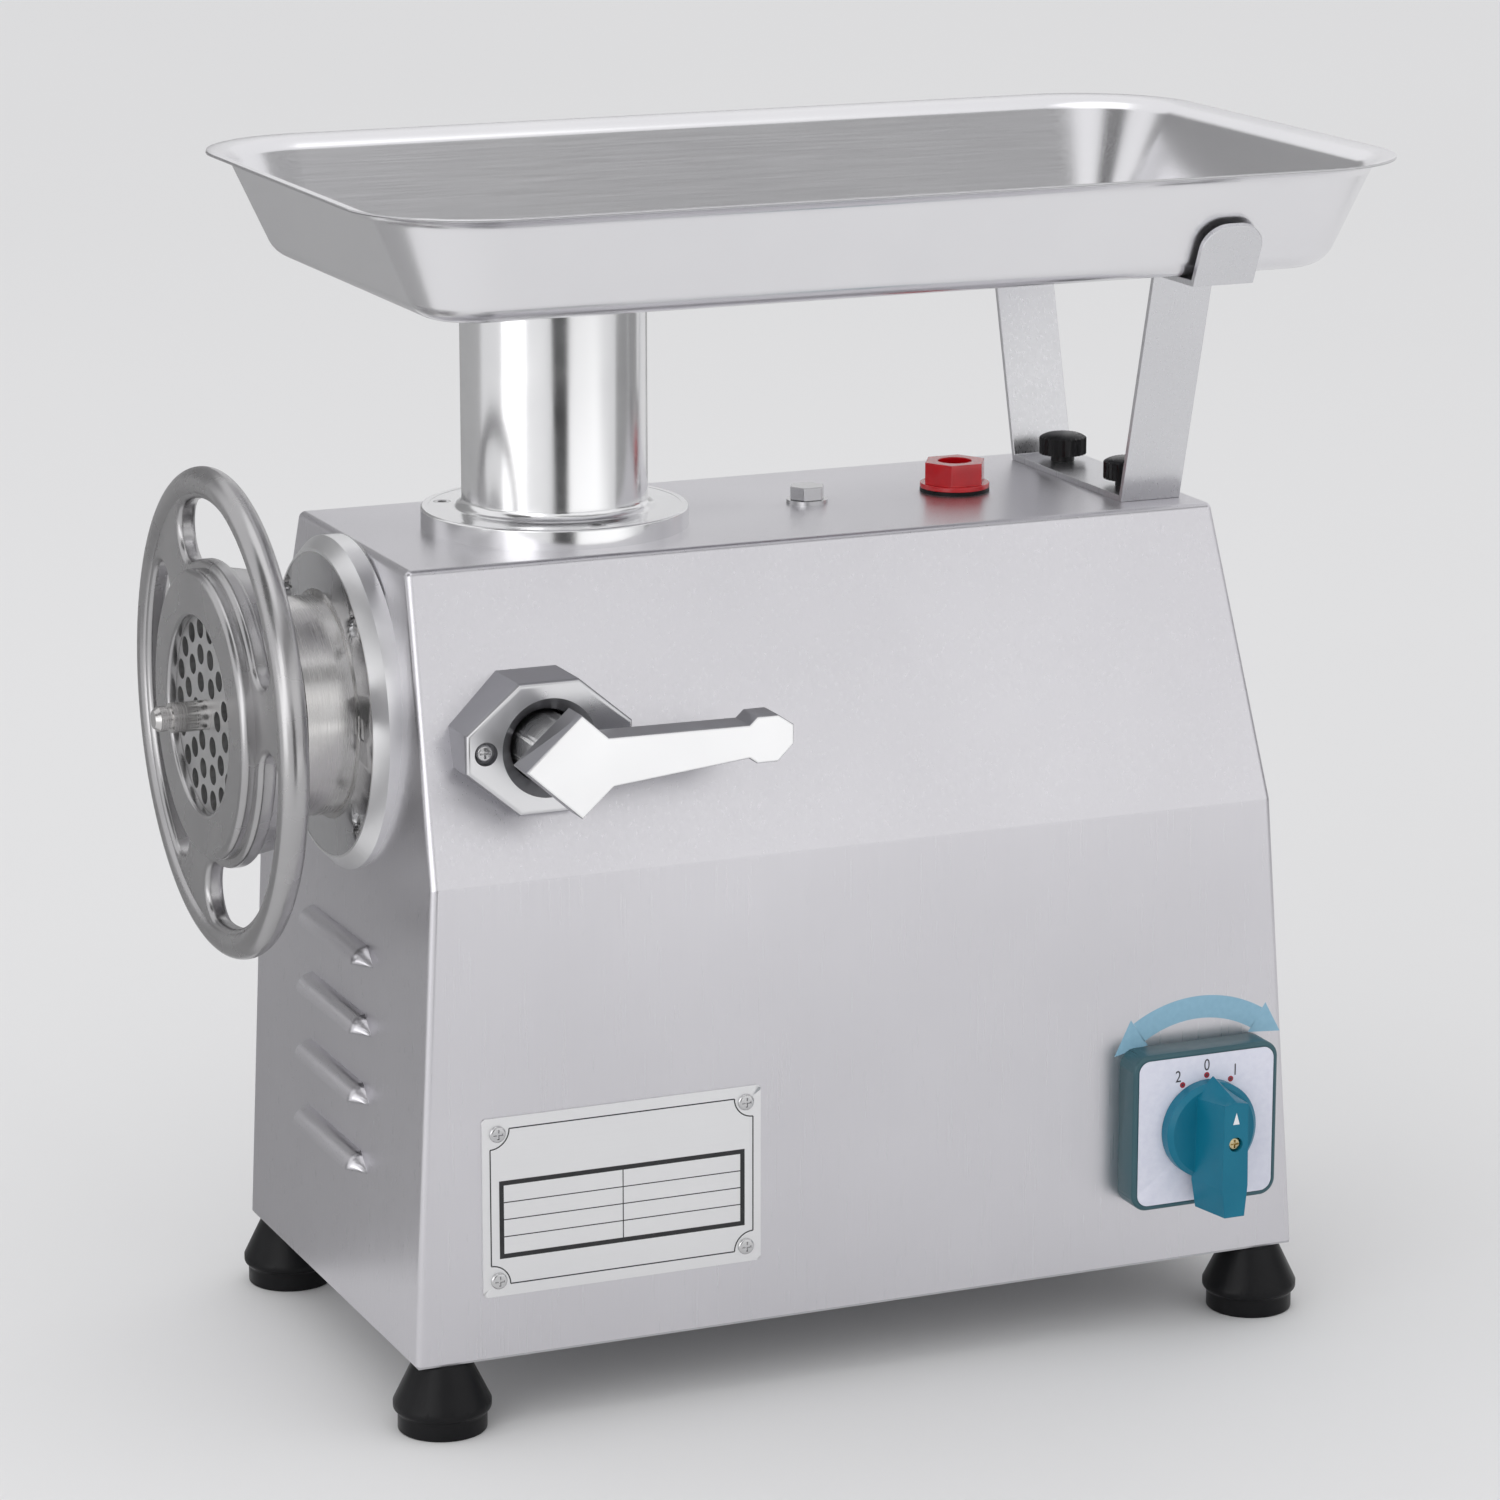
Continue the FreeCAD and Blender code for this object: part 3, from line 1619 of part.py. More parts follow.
case_foot_top = base_top + d.case_foot
case_bolt = turn(
    "case_bolt",
    "Z",
    [
        (0, base_under),
        (d.case_bolt_radius, base_under),
        (d.case_bolt_radius, case_foot_top),
        (d.case_bolt_head_radius, case_foot_top),
        (d.case_bolt_head_radius, case_foot_top + d.case_bolt_head),
        (0, case_foot_top + d.case_bolt_head),
    ],
)
case_bolt_hole = rod(
    "case_bolt_hole",
    "Z",
    base_top - d.overcut,
    case_foot_top + d.overcut,
    d.case_bolt_radius + d.running_gap,
)
case_bolt_holes = copies("case_bolt_holes", case_bolt_hole, case_bolt_places)

cover_face = gearbox_back + d.cover
rim_middle = gear_room_radius + d.gearbox_wall / 2
cover_screw_places = []
for angle in (0, 60, 120, 180):
    screw_y, screw_z = polar(rim_middle, angle)
    cover_screw_places.append((cover_face, screw_y, d.head_height + screw_z))
for side in (-1, 1):
    cover_screw_places.append((cover_face, side * rim_middle, cavity_floor + d.cover_screw_low))
cover_screw = turn(
    "cover_screw",
    "X",
    [
        (-d.cover_screw_length, 0),
        (-d.cover_screw_length, d.cover_screw_radius),
        (0, d.cover_screw_radius),
        (0, d.cover_screw_head_radius),
        (d.cover_screw_head, d.cover_screw_head_radius),
        (d.cover_screw_head, 0),
    ],
)
cover_screw_hole = rod(
    "cover_screw_hole", "X", -d.cover_screw_length, d.overcut, d.cover_screw_radius + d.running_gap
)
cover_screw_holes = copies("cover_screw_holes", cover_screw_hole, cover_screw_places)

tie_circle = d.stator_radius - d.bell_wall / 2
tie_places = []
for quarter in range(4):
    tie_y, tie_z = polar(tie_circle, 45 + 90 * quarter)
    tie_places.append((0, tie_y, motor_height + tie_z))
stator_right = d.gearbox_front - d.bell_length
stator_left = stator_right - d.stator_length
bell_left = stator_left - d.bell_length
tie_end = d.gearbox_front + d.tie_depth
tie_bolt = turn(
    "tie_bolt",
    "X",
    [
        (bell_left - d.tie_head, 0),
        (bell_left - d.tie_head, d.tie_head_radius),
        (bell_left, d.tie_head_radius),
        (bell_left, d.tie_radius),
        (tie_end, d.tie_radius),
        (tie_end, 0),
    ],
)
tie_hole = rod("tie_hole", "X", bell_left - d.overcut, tie_end, d.tie_radius + d.running_gap)
tie_holes = copies("tie_holes", tie_hole, tie_places)

keep(
    cut(
        "gearbox_case",
        fuse("case_casting", [case_body, case_foot, bolt_boss, plug_boss]),
        [
            gear_cavity,
            leg_hollow,
            output_seat,
            counter_seat,
            rotor_hole,
            bolt_hole,
            plug_hole,
            case_bolt_holes,
            cover_screw_holes,
            tie_holes,
        ],
    )
)
keep(copies("gearbox_bolts", case_bolt, case_bolt_places))
cover_plate = slab("cover_plate", "YZ", gearbox_back, cover_face, [case_lines(gearbox_radius, cover_low)])


def cover_seat(name, width, radius, axis):
    """Boss on the inside of the cover, and the tool for its blind bearing seat."""
    boss = rod(name + "_boss", "X", rear_bearing, gearbox_back, radius + d.boss_wall, axis)
    seat = rod(
        name + "_seat", "X", rear_bearing - d.overcut, rear_bearing + width, radius + d.running_gap, axis
    )
    return boss, seat


output_boss, output_rear_seat = cover_seat(
    "output_rear", d.output_bearing, d.output_bearing_radius, head_axis
)
counter_boss, counter_rear_seat = cover_seat(
    "counter_rear", d.counter_bearing, d.counter_bearing_radius, counter_axis
)
keep(
    cut(
        "gearbox_cover",
        fuse("cover_casting", [cover_plate, output_boss, counter_boss]),
        [output_rear_seat, counter_rear_seat, cover_screw_holes],
    )
)
keep(copies("cover_screws", cover_screw, cover_screw_places))


# Motor, hung on the gearbox by four long bolts

stator_blank = tube(
    "stator_blank", "X", stator_left, stator_right, d.stator_bore, d.stator_radius, motor_axis
)
keep(cut("motor_stator", stator_blank, [tie_holes]))
bell_floor = d.bell_length - d.bell_wall
bell_seat = d.rotor_bearing_radius + d.running_gap


def end_bell(name, face, way):
    """Cup with a bearing hub, closed at the far end from the stator's face."""
    ring = d.stator_radius - d.bell_wall
    shaft_hole = d.rotor_shaft_radius + d.shaft_room
    profile = [
        (0, ring),
        (0, d.stator_radius),
        (d.bell_length, d.stator_radius),
        (d.bell_length, shaft_hole),
        (bell_floor, shaft_hole),
        (bell_floor, bell_seat),
        (bell_floor - d.rotor_bearing, bell_seat),
        (bell_floor - d.rotor_bearing, bell_seat + d.boss_wall),
        (bell_floor, bell_seat + d.boss_wall),
        (bell_floor, ring),
    ]
    return turn(name, "X", [(face + way * along, out) for along, out in profile], motor_axis)


bells = doc.addObject("Part::Compound", "bell_pair")
bells.Links = [end_bell("right_bell", stator_right, 1), end_bell("left_bell", stator_left, -1)]
keep(cut("motor_end_bells", bells, [tie_holes]))
keep(copies("motor_tie_bolts", tie_bolt, tie_places))
rotor_bearing = tube(
    "rotor_bearing", "X", 0, d.rotor_bearing, d.rotor_shaft_radius + d.running_gap, d.rotor_bearing_radius
)
keep(
    copies(
        "motor_bearings",
        rotor_bearing,
        [
            (stator_left - bell_floor, 0, motor_height),
            (stator_right + bell_floor - d.rotor_bearing, 0, motor_height),
        ],
    )
)
fan_right = bell_left - d.fan_gap
fan_left = fan_right - d.fan_width
rotor_middle = (stator_left + stator_right) / 2
rotor_left = rotor_middle - d.rotor_length / 2
rotor_right = rotor_middle + d.rotor_length / 2
rotor_start = fan_left - d.stage_gap
rotor_end = fast_start + d.fast_face + d.stage_gap
rotor_radius = d.stator_bore - d.air_gap
keep(
    turn(
        "motor_rotor",
        "X",
        [
            (rotor_start, 0),
            (rotor_start, d.rotor_shaft_radius),
            (rotor_left, d.rotor_shaft_radius),
            (rotor_left, rotor_radius),
            (rotor_right, rotor_radius),
            (rotor_right, d.rotor_shaft_radius),
            (rotor_end, d.rotor_shaft_radius),
            (rotor_end, 0),
        ],
        motor_axis,
    )
)
motor_fan = new_body("motor_fan")
fan_bore = d.rotor_shaft_radius + d.running_gap
add_turn(
    motor_fan,
    "X",
    [
        (fan_left, fan_bore),
        (fan_right, fan_bore),
        (fan_right, d.fan_radius),
        (fan_right - d.fan_disc, d.fan_radius),
        (fan_right - d.fan_disc, d.fan_hub),
        (fan_left, d.fan_hub),
    ],
)
fan_blade = add_pad(
    motor_fan,
    "YZ",
    fan_left,
    fan_right - d.fan_disc / 2,
    [box_corners((fan_bore + d.fan_hub) / 2, -d.fan_blade / 2, d.fan_radius, d.fan_blade / 2)],
)
fan_blades = motor_fan.newObject("PartDesign::PolarPattern", "fan_blades")
fan_blades.Originals = [fan_blade]
fan_blades.Axis = (origin_part(motor_fan, "X_Axis"), [""])
fan_blades.Angle = 360
bind(fan_blades, "Occurrences", d.fan_blades)
motor_fan.Tip = fan_blades
set_place(motor_fan, motor_axis)
keep(motor_fan)

capacitor_top = base_top + d.capacitor_height
capacitor_y = d.base_half_width - d.sheet - d.capacitor_gap - d.capacitor_radius
cap_radius = d.capacitor_radius - d.capacitor_step
keep(
    turn(
        "capacitor",
        "Z",
        [
            (0, base_top),
            (d.capacitor_radius, base_top),
            (d.capacitor_radius, capacitor_top - d.capacitor_cap),
            (cap_radius, capacitor_top - d.capacitor_cap),
            (cap_radius, capacitor_top),
            (0, capacitor_top),
        ],
        (-d.capacitor_x, capacitor_y, 0),
    )
)


# Rotary switch on the front

switch_at = (d.switch_x, d.switch_height)
switch_axis = (d.switch_x, 0, d.switch_height)
bezel_front = front - d.bezel
face_back = bezel_front + d.face
panel_back = front + d.sheet
contact_back = panel_back + d.contact_depth


def on_bezel_front(edge):
    """True for an edge of the bezel's front."""
    return edge.BoundBox.YMax < bezel_front.value + TOUCH


bezel_blank = slab(
    "bezel_blank",
    "XZ",
    bezel_front,
    front,
    [rounded_box(d.bezel_half, d.bezel_half, d.bezel_corner, switch_at)],
)
bezel_body = round_edges("bezel_body", bezel_blank, d.bezel_round, on_bezel_front)
face_room = d.face_half + d.running_gap
face_recess = slab(
    "face_recess",
    "XZ",
    bezel_front - d.overcut,
    face_back,
    [rounded_box(face_room, face_room, d.face_corner, switch_at)],
)
switch_hole = rod(
    "switch_hole", "Y", bezel_front, panel_back + d.overcut, d.switch_neck + d.fit_gap, switch_axis
)
keep(cut("switch_bezel", bezel_body, [face_recess, switch_hole]))
keep(
    slab(
        "switch_face",
        "XZ",
        bezel_front,
        face_back,
        [rounded_box(d.face_half, d.face_half, d.face_corner, switch_at)],
        [(switch_at, d.face_hole)],
    )
)
contact_box = slab(
    "contact_box",
    "XZ",
    panel_back,
    contact_back,
    [box_corners(-d.contact_half, -d.contact_half, d.contact_half, d.contact_half)],
    at=switch_axis,
)
contact_neck = rod(
    "contact_neck", "Y", face_back + d.switch_neck_gap, panel_back, d.switch_neck, switch_axis
)
spindle_end = panel_back + d.switch_spindle_depth
spindle_bore = rod(
    "spindle_bore",
    "Y",
    bezel_front,
    spindle_end + d.fit_gap,
    d.switch_spindle_radius + d.running_gap,
    switch_axis,
)
keep(cut("switch_body", fuse("contact_block", [contact_box, contact_neck]), [spindle_bore]))

knob_back = bezel_front - d.fit_gap
knob_front = knob_back - d.knob_height
disc_front = knob_back - d.knob_base
screw_face = knob_front + d.knob_screw_sink
screw_seat = screw_face + d.knob_screw_head
spindle_start = screw_face + d.knob_screw_length
keep(rod("switch_spindle", "Y", spindle_start, spindle_end, d.switch_spindle_radius, switch_axis))


def bar_lines(tip, shoulder, shoulder_half, waist, waist_half, tail, tail_half):
    """Outline of the knob's bar, pointed at the top."""
    side = [(shoulder_half, shoulder), (waist_half, -waist), (tail_half, -tail)]
    return [(0, tip)] + side + [(-u, v) for u, v in reversed(side)]


knob_body = new_body("knob_body")
add_turn(
    knob_body,
    "Y",
    [
        (disc_front, 0),
        (disc_front, d.knob_radius - d.knob_bevel),
        (disc_front + d.knob_bevel, d.knob_radius),
        (knob_back, d.knob_radius),
        (knob_back, 0),
    ],
)
bar_foot = new_sketch(knob_body, "XZ", -(disc_front + d.knob_sink))
draw(
    bar_foot,
    [
        bar_lines(
            d.knob_tip,
            d.knob_shoulder,
            d.knob_shoulder_half,
            d.knob_waist,
            d.knob_waist_half,
            d.knob_tail,
            d.knob_tail_half,
        )
    ],
)
bar_ridge = new_sketch(knob_body, "XZ", -knob_front)
draw(
    bar_ridge,
    [
        bar_lines(
            d.ridge_tip,
            d.ridge_shoulder,
            d.ridge_shoulder_half,
            d.ridge_waist,
            d.ridge_waist_half,
            d.ridge_tail,
            d.ridge_tail_half,
        )
    ],
)
knob_bar = knob_body.newObject("PartDesign::AdditiveLoft", "knob_bar")
knob_bar.Profile = bar_foot
knob_bar.Sections = [bar_ridge]
knob_bar.Ruled = True
knob_body.Tip = knob_bar
set_place(knob_body, switch_axis)
knob_hole = turn(
    "knob_hole",
    "Y",
    [
        (knob_front - d.overcut, 0),
        (knob_front - d.overcut, d.knob_screw_head_radius + d.running_gap),
        (screw_seat, d.knob_screw_head_radius + d.running_gap),
        (screw_seat, d.knob_screw_radius + d.running_gap),
        (spindle_start, d.knob_screw_radius + d.running_gap),
        (spindle_start, d.switch_spindle_radius + d.running_gap),
        (knob_back + d.overcut, d.switch_spindle_radius + d.running_gap),
        (knob_back + d.overcut, 0),
    ],
    switch_axis,
)
keep(cut("switch_knob", knob_body, [knob_hole]))
keep(
    turn(
        "switch_knob_screw",
        "Y",
        [
            (screw_face, 0),
            (screw_face, d.knob_screw_head_radius),
            (screw_seat, d.knob_screw_head_radius),
            (screw_seat, d.knob_screw_radius),
            (spindle_start, d.knob_screw_radius),
            (spindle_start, 0),
        ],
        switch_axis,
    )
)


# Blank rating plate on the front

rating_at = (-d.rating_x, d.rating_height)
rating_screw_places = []
for side in (-1, 1):
    for level in (-1, 1):
        screw_x = side * (d.rating_half_width - d.rating_screw_inset) - d.rating_x
        screw_z = level * (d.rating_half_height - d.rating_screw_inset) + d.rating_height
        rating_screw_places.append((screw_x, front - d.rating_sheet, screw_z))
keep(
    slab(
        "rating_plate",
        "XZ",
        front - d.rating_sheet,
        front,
        [rounded_box(d.rating_half_width, d.rating_half_height, d.rating_corner, rating_at)],
        [((x, z), d.rating_screw_radius + d.running_gap) for x, y, z in rating_screw_places],
    )
)
rating_screw = turn(
    "rating_screw",
    "Y",
    [
        (-d.rating_screw_head, 0),
        (-d.rating_screw_head, d.rating_screw_head_radius - d.rating_screw_head),
        (0, d.rating_screw_head_radius),
        (0, d.rating_screw_radius),
        (d.rating_screw_length, d.rating_screw_radius),
        (d.rating_screw_length, 0),
    ],
)
keep(copies("rating_plate_screws", rating_screw, rating_screw_places))
rating_screw_hole = rod(
    "rating_screw_hole", "Y", 0, d.rating_screw_length, d.rating_screw_radius + d.running_gap
)
rating_screw_holes = copies("rating_screw_holes", rating_screw_hole, rating_screw_places)


# Loading tray: flared pan with a level lip, and a spigot in the feed neck

tray_rim = d.neck_top + d.tray_depth
tray_x = (d.tray_right - d.tray_left) / 2
tray_half_length = (d.tray_right + d.tray_left) / 2
wall_foot = d.tray_lip + d.tray_flare
tray_levels = [
    (d.neck_top, wall_foot + d.tray_floor_inset),
    (d.neck_top + d.tray_heel, wall_foot + d.tray_heel_inset),
    (d.neck_top + d.tray_round, wall_foot),
    (tray_rim - d.tray_lip_rise - d.tray_sheet, d.tray_lip),
    (tray_rim - d.tray_sheet, as_size(0)),
]


def tray_sketch(body, level, inset):
    """Round-cornered outline of the pan at a height, inset from its rim."""
    sketch = new_sketch(body, "XY", level)
    half_length = tray_half_length - inset
    half_width = d.tray_half_width - inset
    draw(sketch, [rounded_box(half_length, half_width, d.tray_corner - inset, (tray_x, 0))])
    return sketch


def tray_loft(body, kind, name, levels):
    """Ruled loft through the outlines of the pan."""
    sketches = [tray_sketch(body, level, inset) for level, inset in levels]
    loft = body.newObject("PartDesign::" + kind, name)
    loft.Profile = sketches[0]
    loft.Sections = sketches[1:]
    loft.Ruled = True
    body.Tip = loft


tray_pan = new_body("tray_pan")
tray_loft(tray_pan, "AdditiveLoft", "pan_outside", tray_levels + [(tray_rim, as_size(0))])
inside_levels = [(level + d.tray_sheet, inset + d.tray_sheet) for level, inset in tray_levels]
inside_levels.append((tray_rim + d.overcut, d.tray_sheet))
tray_loft(tray_pan, "SubtractiveLoft", "pan_inside", inside_levels)
spigot_radius = d.neck_bore - d.fit_gap
spigot_start = d.neck_top - d.tray_spigot
spigot = rod("spigot", "Z", spigot_start, d.neck_top + d.tray_sheet, spigot_radius, (neck_x, 0, 0))
spigot_bore = rod(
    "spigot_bore",
    "Z",
    spigot_start - d.overcut,
    d.neck_top + d.tray_sheet + d.overcut,
    spigot_radius - d.tray_sheet,
    (neck_x, 0, 0),
)
keep(cut("tray", fuse("pan_and_spigot", [tray_pan, spigot]), [spigot_bore]))


# Strap that carries the tray's far end, with two thumb screws

shelf_top = d.neck_top - d.fit_gap
shelf_under = shelf_top - d.strap
strap_base_top = d.body_top + d.strap
leg_lean = (d.strap_half_top - d.strap_half_base) / (shelf_under - d.body_top)
leg_offset = d.strap * root(1 + leg_lean * leg_lean)
tab_lean = d.strap_tab_lean / d.strap_tab_height
tab_offset = d.strap * root(1 + tab_lean * tab_lean)
tab_top = shelf_under + d.strap_tab_height
tab_slant = root(1 + tab_lean * tab_lean)
strap_side = [
    (d.strap_half_base, d.body_top),
    (d.strap_half_top, shelf_under),
    (d.strap_tab_foot, shelf_under),
    (d.strap_tab_foot + d.strap_tab_lean, tab_top),
    (d.strap_tab_foot + d.strap_tab_lean - d.strap / tab_slant, tab_top + d.strap * tab_lean / tab_slant),
    (d.strap_tab_foot + tab_lean * d.strap - tab_offset, shelf_top),
    (d.strap_half_top + leg_lean * d.strap - leg_offset, shelf_top),
    (d.strap_half_base + leg_lean * d.strap - leg_offset, strap_base_top),
]
strap_lines = strap_side + [(-u, v) for u, v in reversed(strap_side)]
thumb_places = {
    "thumb_screw_front": (d.strap_x, -d.thumb_spacing, 0),
    "thumb_screw_rear": (d.strap_x, d.thumb_spacing, 0),
}
strap_blank = slab(
    "strap_blank", "YZ", d.strap_x - d.strap_half_width, d.strap_x + d.strap_half_width, [strap_lines]
)
thumb_end = strap_base_top - d.thumb_shank
thumb_hole = rod(
    "thumb_hole", "Z", thumb_end, strap_base_top + d.overcut, d.thumb_shank_radius + d.fit_gap
)
thumb_holes = copies("thumb_holes", thumb_hole, list(thumb_places.values()))


def on_tab_corner(edge):
    """True for an edge through the strap at the upper corners of its tabs."""
    box = edge.BoundBox
    return box.XLength < TOUCH and box.YLength < 2 * d.strap.value and box.ZMin > tab_top.value - TOUCH


strap_body = round_edges("strap_body", strap_blank, d.strap_tab_round, on_tab_corner)
keep(cut("tray_bracket", strap_body, [thumb_holes]))
thumb_head_start = strap_base_top + d.thumb_neck
thumb_top = thumb_head_start + d.thumb_head
for thumb_name, place in thumb_places.items():
    keep(
        turn(
            thumb_name,
            "Z",
            [
                (0, thumb_end),
                (d.thumb_shank_radius, thumb_end),
                (d.thumb_shank_radius, strap_base_top),
                (d.thumb_neck_radius, strap_base_top),
                (d.thumb_neck_radius, thumb_head_start),
                (d.thumb_radius, thumb_head_start),
                (d.thumb_radius, thumb_top - d.thumb_bevel),
                (d.thumb_radius - d.thumb_bevel, thumb_top),
                (0, thumb_top),
            ],
            place,
        )
    )


# Bolt and oil plug on the top

bolt_seat = d.body_top + d.washer
bolt_head = slab(
    "bolt_head", "XY", bolt_seat, bolt_seat + d.bolt_head, [hexagon(d.bolt_flats)], at=(d.bolt_x, 0, 0)
)
bolt_shank = rod("bolt_shank", "Z", top_bolt_end, bolt_seat, d.bolt_radius, (d.bolt_x, 0, 0))
keep(fuse("top_bolt", [bolt_head, bolt_shank]))
keep(
    tube(
        "top_bolt_washer",
        "Z",
        d.body_top,
        bolt_seat,
        d.bolt_radius + d.running_gap,
        d.washer_radius,
        (d.bolt_x, 0, 0),
    )
)
plug_seat = d.body_top + d.gasket
plug_top = plug_seat + d.plug_head
plug_end = plug_seat - d.plug_length
collar_top = plug_seat + d.plug_collar_height
plug_collar = turn(
    "plug_collar_turn",
    "Z",
    [
        (0, plug_end),
        (d.plug_radius, plug_end),
        (d.plug_radius, plug_seat),
        (d.plug_collar, plug_seat),
        (d.plug_collar, collar_top),
        (0, collar_top),
    ],
    (d.plug_x, 0, 0),
)
plug_hexagon = slab(
    "plug_hexagon", "XY", plug_seat, plug_top, [hexagon(d.plug_flats)], at=(d.plug_x, 0, 0)
)
plug_recess = rod(
    "plug_recess_tool",
    "Z",
    plug_top - d.plug_recess_depth,
    plug_top + d.overcut,
    d.plug_recess,
    (d.plug_x, 0, 0),
)
keep(cut("oil_plug", fuse("plug_body", [plug_collar, plug_hexagon]), [plug_recess]))
keep(
    tube(
        "oil_plug_gasket",
        "Z",
        d.body_top,
        plug_seat,
        d.plug_radius + d.running_gap,
        d.plug_collar,
        (d.plug_x, 0, 0),
    )
)


# Cable gland in the right end

gland_at = (-d.gland_y, d.gland_height)
gland_axis = (0, -d.gland_y, d.gland_height)
gland_face = right_lean * (d.body_top - d.gland_height) + d.right_top
gland_flange = gland_face + d.gland_flange
gland_end = gland_face - d.gland_thread
gland_tip = gland_flange + d.gland_dome
gland_blank = slab("gland_blank", "YZ", gland_end, gland_flange, [hexagon(d.gland_hex_flats, gland_at)])
gland_hexagon = cut("gland_hexagon", gland_blank, [envelope])
gland_core = turn(
    "gland_core",
    "X",
    [
        (gland_end, d.gland_bore),
        (gland_end, d.gland_radius),
        (gland_flange, d.gland_radius),
        (gland_flange, d.gland_dome_radius),
        (gland_flange + d.gland_shoulder, d.gland_dome_radius),
        (gland_tip, d.gland_tip_radius),
        (gland_tip, d.gland_bore),
    ],
    gland_axis,
)
gland_bore = rod(
    "gland_bore_tool", "X", gland_end - d.overcut, gland_tip + d.overcut, d.gland_bore, gland_axis
)
keep(cut("cable_gland", fuse("gland_body", [gland_hexagon, gland_core]), [gland_bore]))
nut_blank = slab(
    "nut_blank",
    "YZ",
    gland_face - d.sheet - d.gland_nut,
    gland_face,
    [hexagon(d.gland_hex_flats, gland_at)],
    [(gland_at, d.gland_radius + d.running_gap)],
)
keep(common("cable_gland_nut", nut_blank, hollow))


# Housing: the folded body, hollow, with its louvres and every hole that pieces pass through


def top_hole(name, radius, place):
    """Loose hole through the top sheet."""
    return rod(name, "Z", inner_top - d.overcut, d.body_top + d.overcut, radius + d.fit_gap, place)


seat_hole = rod(
    "seat_hole", "X", flange_front, -d.left_top + 2 * d.flange_proud, sleeve_radius + d.fit_gap, head_axis
)
spigot_hole = top_hole("spigot_hole", d.neck_spigot, (neck_x, 0, 0))
panel_bolt_hole = top_hole("panel_bolt_hole", d.bolt_radius, (d.bolt_x, 0, 0))
panel_plug_hole = top_hole("panel_plug_hole", d.plug_radius, (d.plug_x, 0, 0))
clamp_hole = rod(
    "clamp_panel_hole", "Y", -clamp_face, -sleeve_radius, d.clamp_hole, clamp_axis
)
gland_hole = rod(
    "gland_hole", "X", gland_end, gland_flange, d.gland_radius + d.fit_gap, gland_axis
)
keep(
    cut(
        "housing_shell",
        fuse("pressed_body", [envelope] + hoods),
        [
            hollow,
            seat_hole,
            spigot_hole,
            panel_bolt_hole,
            panel_plug_hole,
            clamp_hole,
            gland_hole,
            switch_hole,
            flange_screw_holes,
            neck_screw_holes,
            clamp_screw_holes,
            rating_screw_holes,
            thumb_holes,
        ]
        + hood_rooms,
    )
)


# Every object must have built before anything is written

doc.recompute()
for item in doc.Objects:
    if "Invalid" in item.State or "Error" in item.State:
        raise RuntimeError("failed object: " + item.Name)
for item in pieces:
    if item.Shape.isNull() or not item.Shape.isValid():
        raise RuntimeError("bad shape: " + item.Label)
os.makedirs("parts", exist_ok=True)
for item in pieces:
    item.Shape.exportStep(os.path.join("parts", item.Label + ".step"))
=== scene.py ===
import json
import math

import bmesh
import bpy
from mathutils import Matrix, Vector


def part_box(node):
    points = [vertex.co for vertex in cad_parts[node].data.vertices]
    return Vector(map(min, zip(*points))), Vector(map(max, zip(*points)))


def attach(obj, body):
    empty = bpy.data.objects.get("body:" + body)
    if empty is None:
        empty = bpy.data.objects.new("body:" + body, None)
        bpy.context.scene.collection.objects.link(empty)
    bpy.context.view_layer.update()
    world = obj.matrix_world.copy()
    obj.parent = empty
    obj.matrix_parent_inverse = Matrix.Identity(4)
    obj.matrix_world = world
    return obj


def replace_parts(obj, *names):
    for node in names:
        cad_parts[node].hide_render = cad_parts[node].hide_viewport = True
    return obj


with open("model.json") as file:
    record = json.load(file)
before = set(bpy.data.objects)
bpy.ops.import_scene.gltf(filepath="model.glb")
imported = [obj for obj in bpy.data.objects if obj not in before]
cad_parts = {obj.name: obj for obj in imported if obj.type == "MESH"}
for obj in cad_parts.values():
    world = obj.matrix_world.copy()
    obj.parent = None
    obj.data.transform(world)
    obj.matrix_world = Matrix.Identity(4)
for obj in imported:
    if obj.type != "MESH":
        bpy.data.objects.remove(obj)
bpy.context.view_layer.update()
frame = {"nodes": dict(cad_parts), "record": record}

# Metres per millimetre: places and sizes below are written in millimetres
MM = 0.001
scene = bpy.context.scene
scene.view_settings.view_transform = "Standard"


# Places and bodies read from the frame

BODY_OF = {
    node: body
    for body, nodes in frame["record"]["behaviour"]["bodies"].items()
    for node in nodes
}


def low(node):
    """Lowest corner of a CAD node, in millimetres."""
    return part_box(node)[0] / MM


def high(node):
    """Highest corner of a CAD node, in millimetres."""
    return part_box(node)[1] / MM


def middle(node):
    """Centre of a CAD node's box, in millimetres."""
    return (low(node) + high(node)) / 2


# Camera at the photograph's place

CAMERA_TARGET = Vector((-7.5, -0.1, 237.6)) * MM
CAMERA_DISTANCE = 2201.7 * MM
CAMERA_AZIMUTH = math.radians(-23.17)
CAMERA_ELEVATION = math.radians(13.9)
CAMERA_LENS = 127.73
CAMERA_SENSOR = 36.0


def add_camera():
    """Long lens, a little above the tray's rim, seen from the left of the front."""
    data = bpy.data.cameras.new("photo_camera")
    data.lens = CAMERA_LENS
    data.sensor_width = CAMERA_SENSOR
    camera = bpy.data.objects.new("photo_camera", data)
    away = Vector((
        math.sin(CAMERA_AZIMUTH) * math.cos(CAMERA_ELEVATION),
        -math.cos(CAMERA_AZIMUTH) * math.cos(CAMERA_ELEVATION),
        math.sin(CAMERA_ELEVATION),
    ))
    camera.location = CAMERA_TARGET + away * CAMERA_DISTANCE
    camera.rotation_euler = (-away).to_track_quat("-Z", "Y").to_euler()
    scene.collection.objects.link(camera)
    scene.camera = camera


# Node helpers for materials; most values of a noise lie between these two

NOISE_LOW = 0.3
NOISE_HIGH = 0.7


